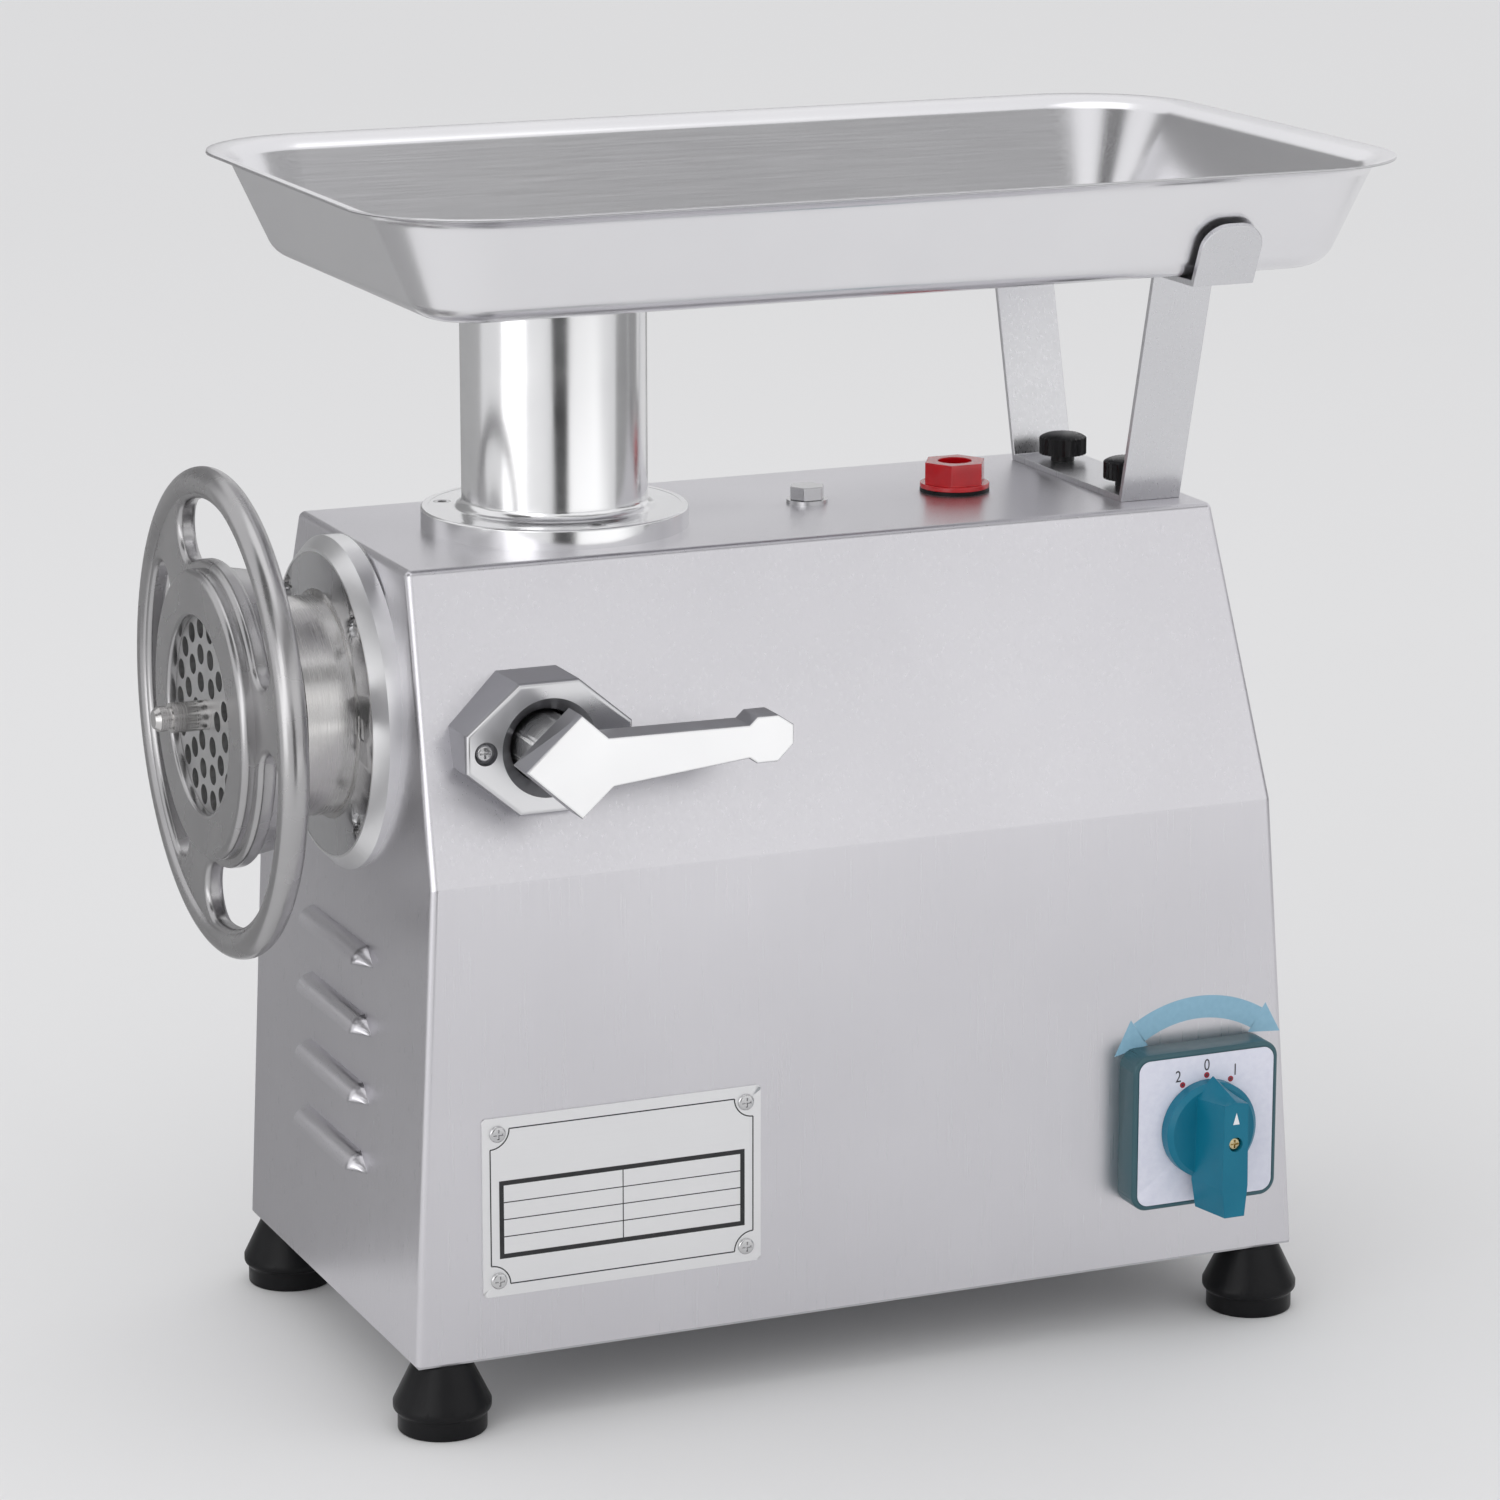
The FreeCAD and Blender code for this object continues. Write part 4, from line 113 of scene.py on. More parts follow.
class Finish:
    """A material under construction, with its nodes wired by short calls."""

    def __init__(self, name, base, metallic=0.0, roughness=0.5):
        self.material = bpy.data.materials.new(name)
        self.material.use_nodes = True
        self.tree = self.material.node_tree
        self.shader = self.tree.nodes["Principled BSDF"]
        self.set("Base Color", (*base, 1.0))
        self.set("Metallic", metallic)
        self.set("Roughness", roughness)
        self.coordinates = self.add("ShaderNodeTexCoord").outputs["Object"]

    def add(self, kind, **settings):
        """New node with its properties set."""
        node = self.tree.nodes.new(kind)
        for setting, value in settings.items():
            setattr(node, setting, value)
        return node

    def set(self, socket, value):
        """Constant on one of the shader's own sockets."""
        self.shader.inputs[socket].default_value = value

    def link(self, output, target):
        """Wire from an output to an input."""
        self.tree.links.new(output, target)

    def noise(self, scale, detail=2.0, stretch=(1, 1, 1)):
        """Noise in the piece's own space, in features per metre, stretched along the axes."""
        mapping = self.add("ShaderNodeMapping")
        mapping.inputs["Scale"].default_value = stretch
        texture = self.add("ShaderNodeTexNoise")
        texture.inputs["Scale"].default_value = scale
        texture.inputs["Detail"].default_value = detail
        self.link(self.coordinates, mapping.inputs["Vector"])
        self.link(mapping.outputs["Vector"], texture.inputs["Vector"])
        return texture.outputs["Fac"]

    def between(self, source, least, most):
        """Noise value spread over a range."""
        spread = self.add("ShaderNodeMapRange")
        spread.inputs["From Min"].default_value = NOISE_LOW
        spread.inputs["From Max"].default_value = NOISE_HIGH
        spread.inputs["To Min"].default_value = least
        spread.inputs["To Max"].default_value = most
        self.link(source, spread.inputs["Value"])
        return spread.outputs["Result"]

    def mixed(self, factor, first, second):
        """Colour between two shades or colour outputs."""
        mix = self.add("ShaderNodeMix", data_type="RGBA")
        self.link(factor, mix.inputs["Factor"])
        for socket, shade in ((mix.inputs["A"], first), (mix.inputs["B"], second)):
            if isinstance(shade, tuple):
                socket.default_value = (*shade, 1.0)
            else:
                self.link(shade, socket)
        return mix.outputs["Result"]

    def colours(self, source, first, second):
        """Base colour that drifts between two shades with a noise."""
        drift = self.mixed(self.between(source, 0.0, 1.0), first, second)
        self.link(drift, self.shader.inputs["Base Color"])

    def rough(self, source, least, most):
        """Roughness that follows a noise."""
        self.link(self.between(source, least, most), self.shader.inputs["Roughness"])

    def bump(self, source, height):
        """Fine relief of a height in metres."""
        relief = self.add("ShaderNodeBump")
        relief.inputs["Strength"].default_value = 1.0
        relief.inputs["Distance"].default_value = height
        self.link(source, relief.inputs["Height"])
        self.link(relief.outputs["Normal"], self.shader.inputs["Normal"])

    def figure(self, operation, first, second):
        """Math on two numbers or outputs."""
        node = self.add("ShaderNodeMath", operation=operation)
        for socket, value in zip(node.inputs, (first, second)):
            if isinstance(value, float):
                socket.default_value = value
            else:
                self.link(value, socket)
        return node.outputs["Value"]


# Finishes: noises are in features per metre, and the heights of their relief in metres

BRUSH_LINES = 1900.0
BRUSH_DRAWN_OUT = 0.012
BRUSH_CLOUDS = 9.0
BRUSH_HEIGHT = 0.000004
BRUSH_ANISOTROPY = 0.35
CAST_DRIFTS = 30.0
CAST_PITS = 1400.0
TURNED_RINGS = 2600.0
TURNED_DRAWN_OUT = 0.02
TURNED_STAINS = 45.0
TURNED_HEIGHT = 0.0000012
MOULDED_MOTTLE = 60.0
MOULDED_GRAIN = 1500.0
MOULDED_HEIGHT = 0.00001
INK_UNEVENNESS = 400.0
RED_DRIFTS = 90.0
RED_MEAN = (0.62, 0.006, 0.012)
RED_LIGHT = (0.66, 0.006, 0.012)
RED_DEEP = (0.5, 0.004, 0.01)


def brushed_sheet(name, first, second, along, least, most):
    """Stainless sheet with fine brush lines along one axis and faint clouds of shade."""
    finish = Finish(name, first, metallic=1.0)
    stretch = [1.0, 1.0, 1.0]
    stretch["XYZ".index(along)] = BRUSH_DRAWN_OUT
    lines = finish.noise(BRUSH_LINES, detail=3.0, stretch=stretch)
    clouds = finish.noise(BRUSH_CLOUDS, detail=3.0)
    finish.colours(clouds, first, second)
    finish.rough(lines, least, most)
    finish.bump(lines, BRUSH_HEIGHT)
    finish.set("Anisotropic", BRUSH_ANISOTROPY)
    return finish


def cast_metal(name, first, second, least, most, grain):
    """Cast or plated metal: soft drifts of shade and polish, and faint pits."""
    finish = Finish(name, first, metallic=1.0)
    drifts = finish.noise(CAST_DRIFTS, detail=4.0)
    pits = finish.noise(CAST_PITS)
    finish.colours(drifts, first, second)
    finish.rough(drifts, least, most)
    finish.bump(pits, grain)
    return finish


def turned_metal(name, first, second, along, least, most):
    """Turned or ground metal: fine rings round an axis along X, Y or Z, and faint stains."""
    finish = Finish(name, first, metallic=1.0)
    stretch = [TURNED_DRAWN_OUT, TURNED_DRAWN_OUT, TURNED_DRAWN_OUT]
    stretch["XYZ".index(along)] = 1.0
    rings = finish.noise(TURNED_RINGS, stretch=stretch)
    stains = finish.noise(TURNED_STAINS, detail=4.0)
    finish.colours(stains, first, second)
    finish.rough(rings, least, most)
    finish.bump(rings, TURNED_HEIGHT)
    return finish


def moulded(name, first, second, least, most, grain=MOULDED_HEIGHT, gloss=0.5):
    """Moulded plastic or rubber: faint mottling, fine grain."""
    finish = Finish(name, first)
    mottle = finish.noise(MOULDED_MOTTLE, detail=4.0)
    texture = finish.noise(MOULDED_GRAIN, detail=3.0)
    finish.colours(mottle, first, second)
    finish.rough(mottle, least, most)
    finish.bump(texture, grain)
    finish.set("Specular IOR Level", gloss)
    return finish


def printed(name, first, second, least=0.4, most=0.55):
    """Flat ink or film with a little unevenness."""
    finish = Finish(name, first)
    unevenness = finish.noise(INK_UNEVENNESS, detail=3.0)
    finish.colours(unevenness, first, second)
    finish.rough(unevenness, least, most)
    return finish


def red_plastic():
    """Glossy red plastic that light sinks into a little."""
    finish = Finish("red_plug_plastic", RED_MEAN)
    depth = finish.noise(RED_DRIFTS, detail=3.0)
    finish.colours(depth, RED_LIGHT, RED_DEEP)
    finish.rough(depth, 0.12, 0.2)
    finish.set("Subsurface Weight", 0.25)
    finish.set("Subsurface Radius", (0.006, 0.001, 0.001))
    finish.set("Coat Weight", 0.4)
    return finish


# Pointer on the knob's grip: half its width, its height, its rise over the screw and its depth
POINTER_HALF = 1.45
POINTER_TALL = 5.0
POINTER_RISE = 8.6
POINTER_DEPTH = 1.0
POINTER_WHITE = (0.8, 0.82, 0.84)


def pointer_mask(finish):
    """One inside the pointer's triangle on the front of the grip, and nought elsewhere."""
    foot = Vector((
        middle("switch_knob_screw").x,
        low("switch_knob").y + POINTER_DEPTH,
        middle("switch_knob_screw").z + POINTER_RISE,
    ))
    centred = finish.add("ShaderNodeMapping")
    centred.inputs["Location"].default_value = -foot * MM
    finish.link(finish.coordinates, centred.inputs["Vector"])
    axes = finish.add("ShaderNodeSeparateXYZ")
    finish.link(centred.outputs["Vector"], axes.inputs["Vector"])
    across = finish.figure("ABSOLUTE", axes.outputs["X"], 0.0)
    slant = finish.figure("MULTIPLY", across, POINTER_TALL / POINTER_HALF)
    reach = finish.figure("ADD", slant, axes.outputs["Z"])
    under_sides = finish.figure("LESS_THAN", reach, POINTER_TALL * MM)
    over_foot = finish.figure("GREATER_THAN", axes.outputs["Z"], 0.0)
    on_front = finish.figure("LESS_THAN", axes.outputs["Y"], 0.0)
    triangle = finish.figure("MULTIPLY", under_sides, over_foot)
    return finish.figure("MULTIPLY", triangle, on_front)


def knob_plastic(first, second):
    """Teal plastic with a small white pointer on the front of the grip."""
    finish = moulded("knob_teal", first, second, 0.28, 0.4, gloss=0.3)
    base = finish.shader.inputs["Base Color"]
    plain = base.links[0].from_socket
    finish.link(finish.mixed(pointer_mask(finish), plain, POINTER_WHITE), base)
    return finish


# Each finish: two shades, the axis of its grain if it has one, its range of roughness, its relief
BODY_STEEL = brushed_sheet(
    "body_brushed_steel", (0.675, 0.665, 0.695), (0.715, 0.705, 0.735), "Z", 0.27, 0.37
)
STRAP_STEEL = brushed_sheet("strap_steel", (0.7, 0.7, 0.72), (0.75, 0.75, 0.77), "Z", 0.26, 0.36)
TRAY_STEEL = brushed_sheet(
    "tray_polished_steel", (0.84, 0.835, 0.855), (0.88, 0.875, 0.89), "X", 0.19, 0.27
)
ZINC = cast_metal("zinc_sheet", (0.5, 0.5, 0.52), (0.58, 0.58, 0.6), 0.4, 0.55, 0.000004)
POLISHED = cast_metal(
    "polished_aluminium", (0.84, 0.84, 0.85), (0.9, 0.9, 0.905), 0.15, 0.22, 0.0000015
)
SATIN_CAST = cast_metal(
    "satin_aluminium", (0.84, 0.84, 0.85), (0.89, 0.89, 0.895), 0.26, 0.34, 0.000003
)
# Face and sleeve of the head's casting: darker than the satin bevel laid on the same flange, as painted
# shade
SHADED_HEAD_CAST = cast_metal("head_casting_painted_shade", (0.56, 0.56, 0.57), (0.63, 0.63, 0.64), 0.22, 0.3, 0.000003)
BLOCK_CAST = cast_metal("clamp_casting", (0.7, 0.7, 0.715), (0.78, 0.78, 0.79), 0.24, 0.34, 0.000004)
LEVER_CAST = cast_metal(
    "lever_satin_casting", (0.94, 0.94, 0.945), (0.97, 0.97, 0.975), 0.28, 0.36, 0.000004
)
# Sides of the clamp block and the lever: the higher roughness and grain stand for unpolished casting,
# the much darker colour is painted shade
SHADED_CAST_SIDES = cast_metal(
    "casting_sides_painted_shade", (0.34, 0.34, 0.36), (0.42, 0.42, 0.44), 0.3, 0.42, 0.000006
)
WHEEL_STEEL = cast_metal("wheel_steel", (0.43, 0.425, 0.43), (0.5, 0.495, 0.5), 0.22, 0.32, 0.000002)
HEAD_STEEL = turned_metal("head_turned_steel", (0.58, 0.57, 0.56), (0.66, 0.65, 0.645), "X", 0.18, 0.3)
SPINDLE_STEEL = turned_metal("spindle_turned_steel", (0.5, 0.5, 0.5), (0.6, 0.6, 0.6), "Y", 0.25, 0.4)
PLATE_STEEL = turned_metal(
    "cutting_plate_steel", (0.58, 0.58, 0.58), (0.66, 0.66, 0.66), "X", 0.28, 0.4
)
RAW_CASTING = cast_metal("raw_casting", (0.55, 0.55, 0.56), (0.63, 0.63, 0.64), 0.42, 0.55, 0.00003)
GEAR_STEEL = turned_metal("gear_steel", (0.42, 0.42, 0.43), (0.5, 0.5, 0.5), "X", 0.25, 0.38)
SCREW_STEEL = cast_metal("screw_steel", (0.6, 0.6, 0.61), (0.7, 0.7, 0.7), 0.18, 0.3, 0.000003)
BRASS_SCREW = cast_metal(
    "yellow_plated_screw", (0.6, 0.5, 0.28), (0.68, 0.58, 0.36), 0.2, 0.32, 0.000003
)
PLATE_SHEET = brushed_sheet(
    "rating_plate_sheet", (0.84, 0.84, 0.85), (0.88, 0.88, 0.885), "X", 0.36, 0.5
)
LAMINATIONS = turned_metal("stator_laminations", (0.2, 0.2, 0.22), (0.28, 0.28, 0.3), "X", 0.4, 0.55)
RUBBER = moulded(
    "black_rubber", (0.006, 0.006, 0.007), (0.01, 0.01, 0.011), 0.3, 0.42, 0.00002, gloss=0.18
)
BLACK_PLASTIC = moulded(
    "black_plastic", (0.007, 0.007, 0.008), (0.012, 0.012, 0.013), 0.22, 0.34, gloss=0.25
)
DARK_TEAL = moulded("bezel_teal", (0.03, 0.09, 0.11), (0.036, 0.105, 0.128), 0.3, 0.42)
TEAL = knob_plastic((0.003, 0.15, 0.24), (0.005, 0.17, 0.265))
WHITE_FACE = printed("switch_face_white", (0.74, 0.745, 0.85), (0.79, 0.795, 0.89), 0.3, 0.45)
RED_PLUG = red_plastic()
ARROW_BLUE = printed("arrow_film", (0.25, 0.46, 0.6), (0.28, 0.5, 0.64), 0.35, 0.5)
INK = printed("black_ink", (0.01, 0.01, 0.012), (0.02, 0.02, 0.022))
DIGIT_INK = printed("digit_ink", (0.04, 0.035, 0.045), (0.06, 0.055, 0.065))
RED_INK = printed("red_ink", (0.33, 0.012, 0.03), (0.4, 0.02, 0.04))


# Making pieces: shapes are made in millimetres and scaled when they are done

# Corners nearer than MERGE are one; edges sharper than CREASE, or than FACETED on the clamp, stay sharp
MERGE = 0.002
CREASE = math.radians(32)
FACETED = math.radians(12)
# A face looks to the front where its normal's Y is under this; the other faces can take a darker sides
# finish as painted shade
FRONT_FACING = -0.75
# Edges sharper than BEVEL_ANGLE can be softened, and faces within FLAT_ANGLE make one panel
BEVEL_ANGLE = math.radians(38)
FLAT_ANGLE = math.radians(0.3)
# Steps across a softened edge and round a rounded one
BEVEL_STEPS = 3
EDGE_STEPS = 6
# Turns for shapes made round the Z axis, so that they face the front or the left end
TO_FRONT = Matrix.Rotation(math.radians(90), 4, "X")
TO_LEFT = Matrix.Rotation(math.radians(-90), 4, "Y")


def make_piece(name, bm, finish, node, crease=CREASE):
    """Piece from a bmesh; it moves with a CAD node's body."""
    bmesh.ops.scale(bm, vec=(MM, MM, MM), verts=bm.verts)
    mesh = bpy.data.meshes.new(name)
    bm.to_mesh(mesh)
    bm.free()
    mesh.materials.append(finish.material)
    mesh.shade_smooth()
    mesh.set_sharp_from_angle(angle=crease)
    piece = bpy.data.objects.new(name, mesh)
    scene.collection.objects.link(piece)
    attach(piece, BODY_OF[node])
    return piece


def even_shading(piece):
    """Lets the large faces lead the shading of the small ones beside them."""
    even = piece.modifiers.new("even_shading", "WEIGHTED_NORMAL")
    even.keep_sharp = True


def merged_copy(node, panels=False):
    """Merged copy of a CAD node in millimetres; its flat panels can become single faces."""
    bm = bmesh.new()
    bm.from_mesh(frame["nodes"][node].data)
    bmesh.ops.scale(bm, vec=(1 / MM, 1 / MM, 1 / MM), verts=bm.verts)
    bmesh.ops.remove_doubles(bm, verts=bm.verts, dist=MERGE)
    if panels:
        bmesh.ops.dissolve_limit(bm, angle_limit=FLAT_ANGLE, verts=bm.verts, edges=bm.edges)
    return bm


def soften(piece, edge):
    """Rounds a piece's sharp edges over by a width in millimetres."""
    bevel = piece.modifiers.new("soft_edges", "BEVEL")
    bevel.width = edge * MM
    bevel.segments = BEVEL_STEPS
    bevel.profile = 0.5
    bevel.limit_method = "ANGLE"
    bevel.angle_limit = BEVEL_ANGLE
    bevel.material = -1


def skin(finish, nodes, edge=0.0, crease=CREASE, sides=None, panels=False):
    """Shows smooth copies of CAD nodes; edges can be softened, and faces off the front can take a
    darker finish as painted shade.
    """
    for node in nodes:
        bm = merged_copy(node, panels or edge > 0)
        piece = make_piece(node + "_skin", bm, finish, node, crease)
        # Faces that turn away from the front take the darker sides finish: painted shade
        if sides:
            piece.data.materials.append(sides.material)
            for face in piece.data.polygons:
                face.material_index = 0 if face.normal.y < FRONT_FACING else 1
        if edge:
            soften(piece, edge)
        even_shading(piece)
        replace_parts(piece, node)


def paint(finish, nodes):
    """Gives a finish to CAD nodes that stay as they are."""
    for name in nodes:
        node = frame["nodes"][name]
        node.data.materials.clear()
        node.data.materials.append(finish.material)


def verts_of(geometry):
    """Vertices among the parts that an operator returns."""
    return [item for item in geometry if isinstance(item, bmesh.types.BMVert)]


def ray(turn):
    """Level direction at an angle in degrees from the X axis."""
    angle = math.radians(turn)
    return Vector((math.cos(angle), math.sin(angle), 0))


def turned(bm, profile, steps=40):
    """Turns a profile of radius and height points round the Z axis."""
    points = [bm.verts.new((radius, 0.0, height)) for radius, height in profile]
    lines = [bm.edges.new(pair) for pair in zip(points, points[1:])]
    bmesh.ops.spin(
        bm,
        geom=points + lines,
        cent=(0, 0, 0),
        axis=(0, 0, 1),
        angle=math.tau,
        steps=steps,
        use_merge=True,
    )
    bmesh.ops.remove_doubles(bm, verts=bm.verts, dist=MERGE)
    bmesh.ops.recalc_face_normals(bm, faces=bm.faces)


def repeat(bm, places):
    """Puts a copy of the whole shape at each place and drops the first one."""
    first = bm.verts[:] + bm.edges[:] + bm.faces[:]
    for place in places:
        copy = bmesh.ops.duplicate(bm, geom=first)["geom"]
        bmesh.ops.transform(bm, matrix=place, verts=verts_of(copy))
    bmesh.ops.delete(bm, geom=verts_of(first), context="VERTS")


# Screws

def cross_outline(bm, height, width, reach):
    """Flat cross of four arms round the Z axis."""
    before = set(bm.faces)
    top = Vector((0, 0, height))
    square = bmesh.ops.create_grid(
        bm, x_segments=1, y_segments=1, size=width / 2, matrix=Matrix.Translation(top)
    )["verts"]
    for edge in list(square[0].link_faces[0].edges):
        outward = ((edge.verts[0].co + edge.verts[1].co) / 2 - top).normalized()
        arm = bmesh.ops.extrude_edge_only(bm, edges=[edge])["geom"]
        bmesh.ops.translate(bm, vec=outward * (reach - width / 2), verts=verts_of(arm))
    return [face for face in bm.faces if face not in before]


def hexagon_outline(bm, height, radius):
    """Flat hexagon round the Z axis."""
    before = set(bm.faces)
    bmesh.ops.create_circle(
        bm, cap_ends=True, segments=6, radius=radius, matrix=Matrix.Translation((0, 0, height))
    )
    return [face for face in bm.faces if face not in before]


def sink(bm, outline, taper, depth):
    """Closes an open top round a flat outline, then sinks the outline."""
    bmesh.ops.triangle_fill(bm, edges=[edge for edge in bm.edges if edge.is_boundary], use_beauty=True)
    bmesh.ops.recalc_face_normals(bm, faces=bm.faces)
    bmesh.ops.inset_region(bm, faces=outline, thickness=taper, depth=-depth, use_even_offset=True)


# Cross-head screws, in shares of the head's radius and height: rounded edge and cross
PAN_EDGE = ((1.0, 0.4), (0.95, 0.65), (0.82, 0.9), (0.7, 1.0))
CROSS_WIDTH = 0.28
CROSS_REACH = 0.6
CROSS_TAPER = 0.05
CROSS_DEPTH = 0.6


def pan_screw(head_radius, head, shank_radius, length):
    """Cross-head screw along Z, its seat at zero and its head upwards."""
    bm = bmesh.new()
    shank = [(0.0, -length), (shank_radius, -length), (shank_radius, 0.0), (head_radius, 0.0)]
    edge = [(head_radius * across, head * up) for across, up in PAN_EDGE]
    turned(bm, shank + edge)
    cross = cross_outline(bm, head, head_radius * CROSS_WIDTH, head_radius * CROSS_REACH)
    sink(bm, cross, head_radius * CROSS_TAPER, head * CROSS_DEPTH)
    return bm


# Set screws, in shares of their radius: chamfer and hexagon socket
SET_SCREW_CHAMFER = 0.1
SOCKET_RADIUS = 0.58
SOCKET_TAPER = 0.02
SOCKET_DEPTH = 0.6


def socket_screw(radius, length):
    """Set screw along Z with a hexagon socket, its top at zero."""
    bm = bmesh.new()
    edge = radius * SET_SCREW_CHAMFER
    turned(bm, [(0.0, -length), (radius, -length), (radius, -edge), (radius - edge, 0.0)])
    hexagon = hexagon_outline(bm, 0.0, radius * SOCKET_RADIUS)
    sink(bm, hexagon, radius * SOCKET_TAPER, radius * SOCKET_DEPTH)
    return bm


def corners(node, inset, plane):
    """Corners of a node's box in a plane such as XZ, moved inwards."""
    first, second = plane.lower()
    return [
        (u, v)
        for u in (getattr(low(node), first) + inset, getattr(high(node), first) - inset)
        for v in (getattr(low(node), second) + inset, getattr(high(node), second) - inset)
    ]


PLATE_SCREW_RADIUS = 3.4
PLATE_SCREW_HEAD = 1.2
PLATE_SCREW_SHANK = 1.7
SUNK_SCREW_RADIUS = 3.6
SUNK_SCREW_HEAD = 2.4
SUNK_SCREW_SHANK = 2.5
NECK_SCREW_RADIUS = 3.5
NECK_SCREW_CIRCLE = 46.0
NECK_SCREW_TURNS = (-90, 30, 150)
# Knob's screw, in shares of its radius
KNOB_SCREW_HEAD = 0.6
KNOB_SCREW_SHANK = 0.5


def add_screws():
    """Cross-head screws of the rating plate, clamp, flange and knob, and the neck's set screws."""
    node = "rating_plate_screws"
    seat = low(node).y + PLATE_SCREW_HEAD
    bm = pan_screw(PLATE_SCREW_RADIUS, PLATE_SCREW_HEAD, PLATE_SCREW_SHANK, high(node).y - seat)
    spots = corners(node, PLATE_SCREW_RADIUS, "XZ")
    repeat(bm, [Matrix.Translation((x, seat, z)) @ TO_FRONT for x, z in spots])
    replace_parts(make_piece("rating_plate_pan_screws", bm, SCREW_STEEL, node), node)

    node = "clamp_screws"
    seat = low(node).y + SUNK_SCREW_HEAD
    bm = pan_screw(SUNK_SCREW_RADIUS, SUNK_SCREW_HEAD, SUNK_SCREW_SHANK, high(node).y - seat)
    ends = (low(node).x + SUNK_SCREW_RADIUS, high(node).x - SUNK_SCREW_RADIUS)
    repeat(bm, [Matrix.Translation((x, seat, middle(node).z)) @ TO_FRONT for x in ends])
    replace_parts(make_piece("clamp_pan_screws", bm, SCREW_STEEL, node), node)

    node = "flange_screws"
    seat = low(node).x + SUNK_SCREW_HEAD
    bm = pan_screw(SUNK_SCREW_RADIUS, SUNK_SCREW_HEAD, SUNK_SCREW_SHANK, high(node).x - seat)
    spots = corners(node, SUNK_SCREW_RADIUS, "YZ")
    repeat(bm, [Matrix.Translation((seat, y, z)) @ TO_LEFT for y, z in spots])
    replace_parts(make_piece("flange_pan_screws", bm, SCREW_STEEL, node), node)

    node = "switch_knob_screw"
    radius = (high(node).x - low(node).x) / 2
    seat = low(node).y + radius * KNOB_SCREW_HEAD
    bm = pan_screw(radius, radius * KNOB_SCREW_HEAD, radius * KNOB_SCREW_SHANK, high(node).y - seat)
    repeat(bm, [Matrix.Translation((middle(node).x, seat, middle(node).z)) @ TO_FRONT])
    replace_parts(make_piece("switch_knob_pan_screw", bm, BRASS_SCREW, node), node)

    node = "neck_screws"
    bm = socket_screw(NECK_SCREW_RADIUS, high(node).z - low(node).z)
    centre = Vector((middle("feed_neck").x, middle("feed_neck").y, high(node).z))
    spots = [centre + ray(turn) * NECK_SCREW_CIRCLE for turn in NECK_SCREW_TURNS]
    repeat(bm, [Matrix.Translation(spot) for spot in spots])
    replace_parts(make_piece("neck_socket_screws", bm, SCREW_STEEL, node), node)


# Knurled thumb screws of the tray's strap

KNURLS = 26
KNURL_VALLEY = 0.94
THUMB_HEAD = 9.0
THUMB_NECK = 5.0
THUMB_DOME = ((1.2, 0.9), (1.6, 0.7), (2.4, 0.4))


def add_thumb_screw(node):
    """Domed plastic head with a knurled edge on a smooth neck."""
    bm = bmesh.new()
    radius = (high(node).x - low(node).x) / 2
    top = high(node).z
    dome = sum(rise for step, rise in THUMB_DOME)
    ring = bmesh.ops.create_circle(bm, cap_ends=True, segments=2 * KNURLS, radius=radius)["verts"]
    bmesh.ops.scale(bm, vec=(KNURL_VALLEY, KNURL_VALLEY, 1), verts=ring[::2])
    upper = bmesh.ops.extrude_face_region(bm, geom=bm.faces[:], use_keep_orig=True)["geom"]
    bmesh.ops.translate(bm, vec=(0, 0, THUMB_HEAD - dome), verts=verts_of(upper))
    crown = [item for item in upper if isinstance(item, bmesh.types.BMFace)]
    bmesh.ops.recalc_face_normals(bm, faces=bm.faces)
    for step, rise in THUMB_DOME:
        bmesh.ops.inset_region(bm, faces=crown, thickness=step, depth=rise, use_even_offset=True)
    shank = THUMB_HEAD + low(node).z - top
    turned(bm, [(0.0, shank), (THUMB_NECK, shank), (THUMB_NECK, 0.0), (0.0, 0.0)])
    repeat(bm, [Matrix.Translation((middle(node).x, middle(node).y, top - THUMB_HEAD))])
    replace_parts(make_piece(node + "_knurled", bm, BLACK_PLASTIC, node), node)


# Hand wheel: a cup that screws on the head, a round rim and a flat web with three windows

ROUND_STEPS = 160
RIM_STEPS = 28
RIM_SECTION = 6.0
RIM_SETBACK = 9.5
CUP_OPENING = 39.5
CUP_RADIUS = 58.0
CUP_BACK_RADIUS = 55.5
CUP_LENGTH = 28.0
CUP_LIP = 3.9
CUP_THREAD = 50.0
CUP_ROUND = 3.0
CUP_ROUND_STEPS = 8
CUP_LIP_STEPS = 5
CUP_BACK_EDGE = 0.5
WEB = 8.0
WEB_INNER = 53.0
WEB_ROUND = 2.6
WINDOW_INNER = 61.5
WINDOW_OUTER = 85.5
WINDOW_STEPS = 40
WINDOW_END_STEPS = 20
SPOKES = 3
SPOKE_WIDTH = 26.0
SPOKE_TURN = 40.0


def arc(centre, radius, start, sweep, steps):
    """Points along an arc in a flat profile, its angles in degrees."""
    turns = [math.radians(start + sweep * step / steps) for step in range(steps + 1)]
    u, v = centre
    return [(u + radius * math.cos(turn), v + radius * math.sin(turn)) for turn in turns]


def chain(bm, start, centre, sweep, steps):
    """Line of edges that starts at a corner and turns round a centre; gives the last corner."""
    arm = bmesh.ops.spin(
        bm, geom=[start], cent=centre, axis=(0, 0, 1), angle=math.radians(sweep), steps=steps
    )["geom_last"]
    return verts_of(arm)[0]


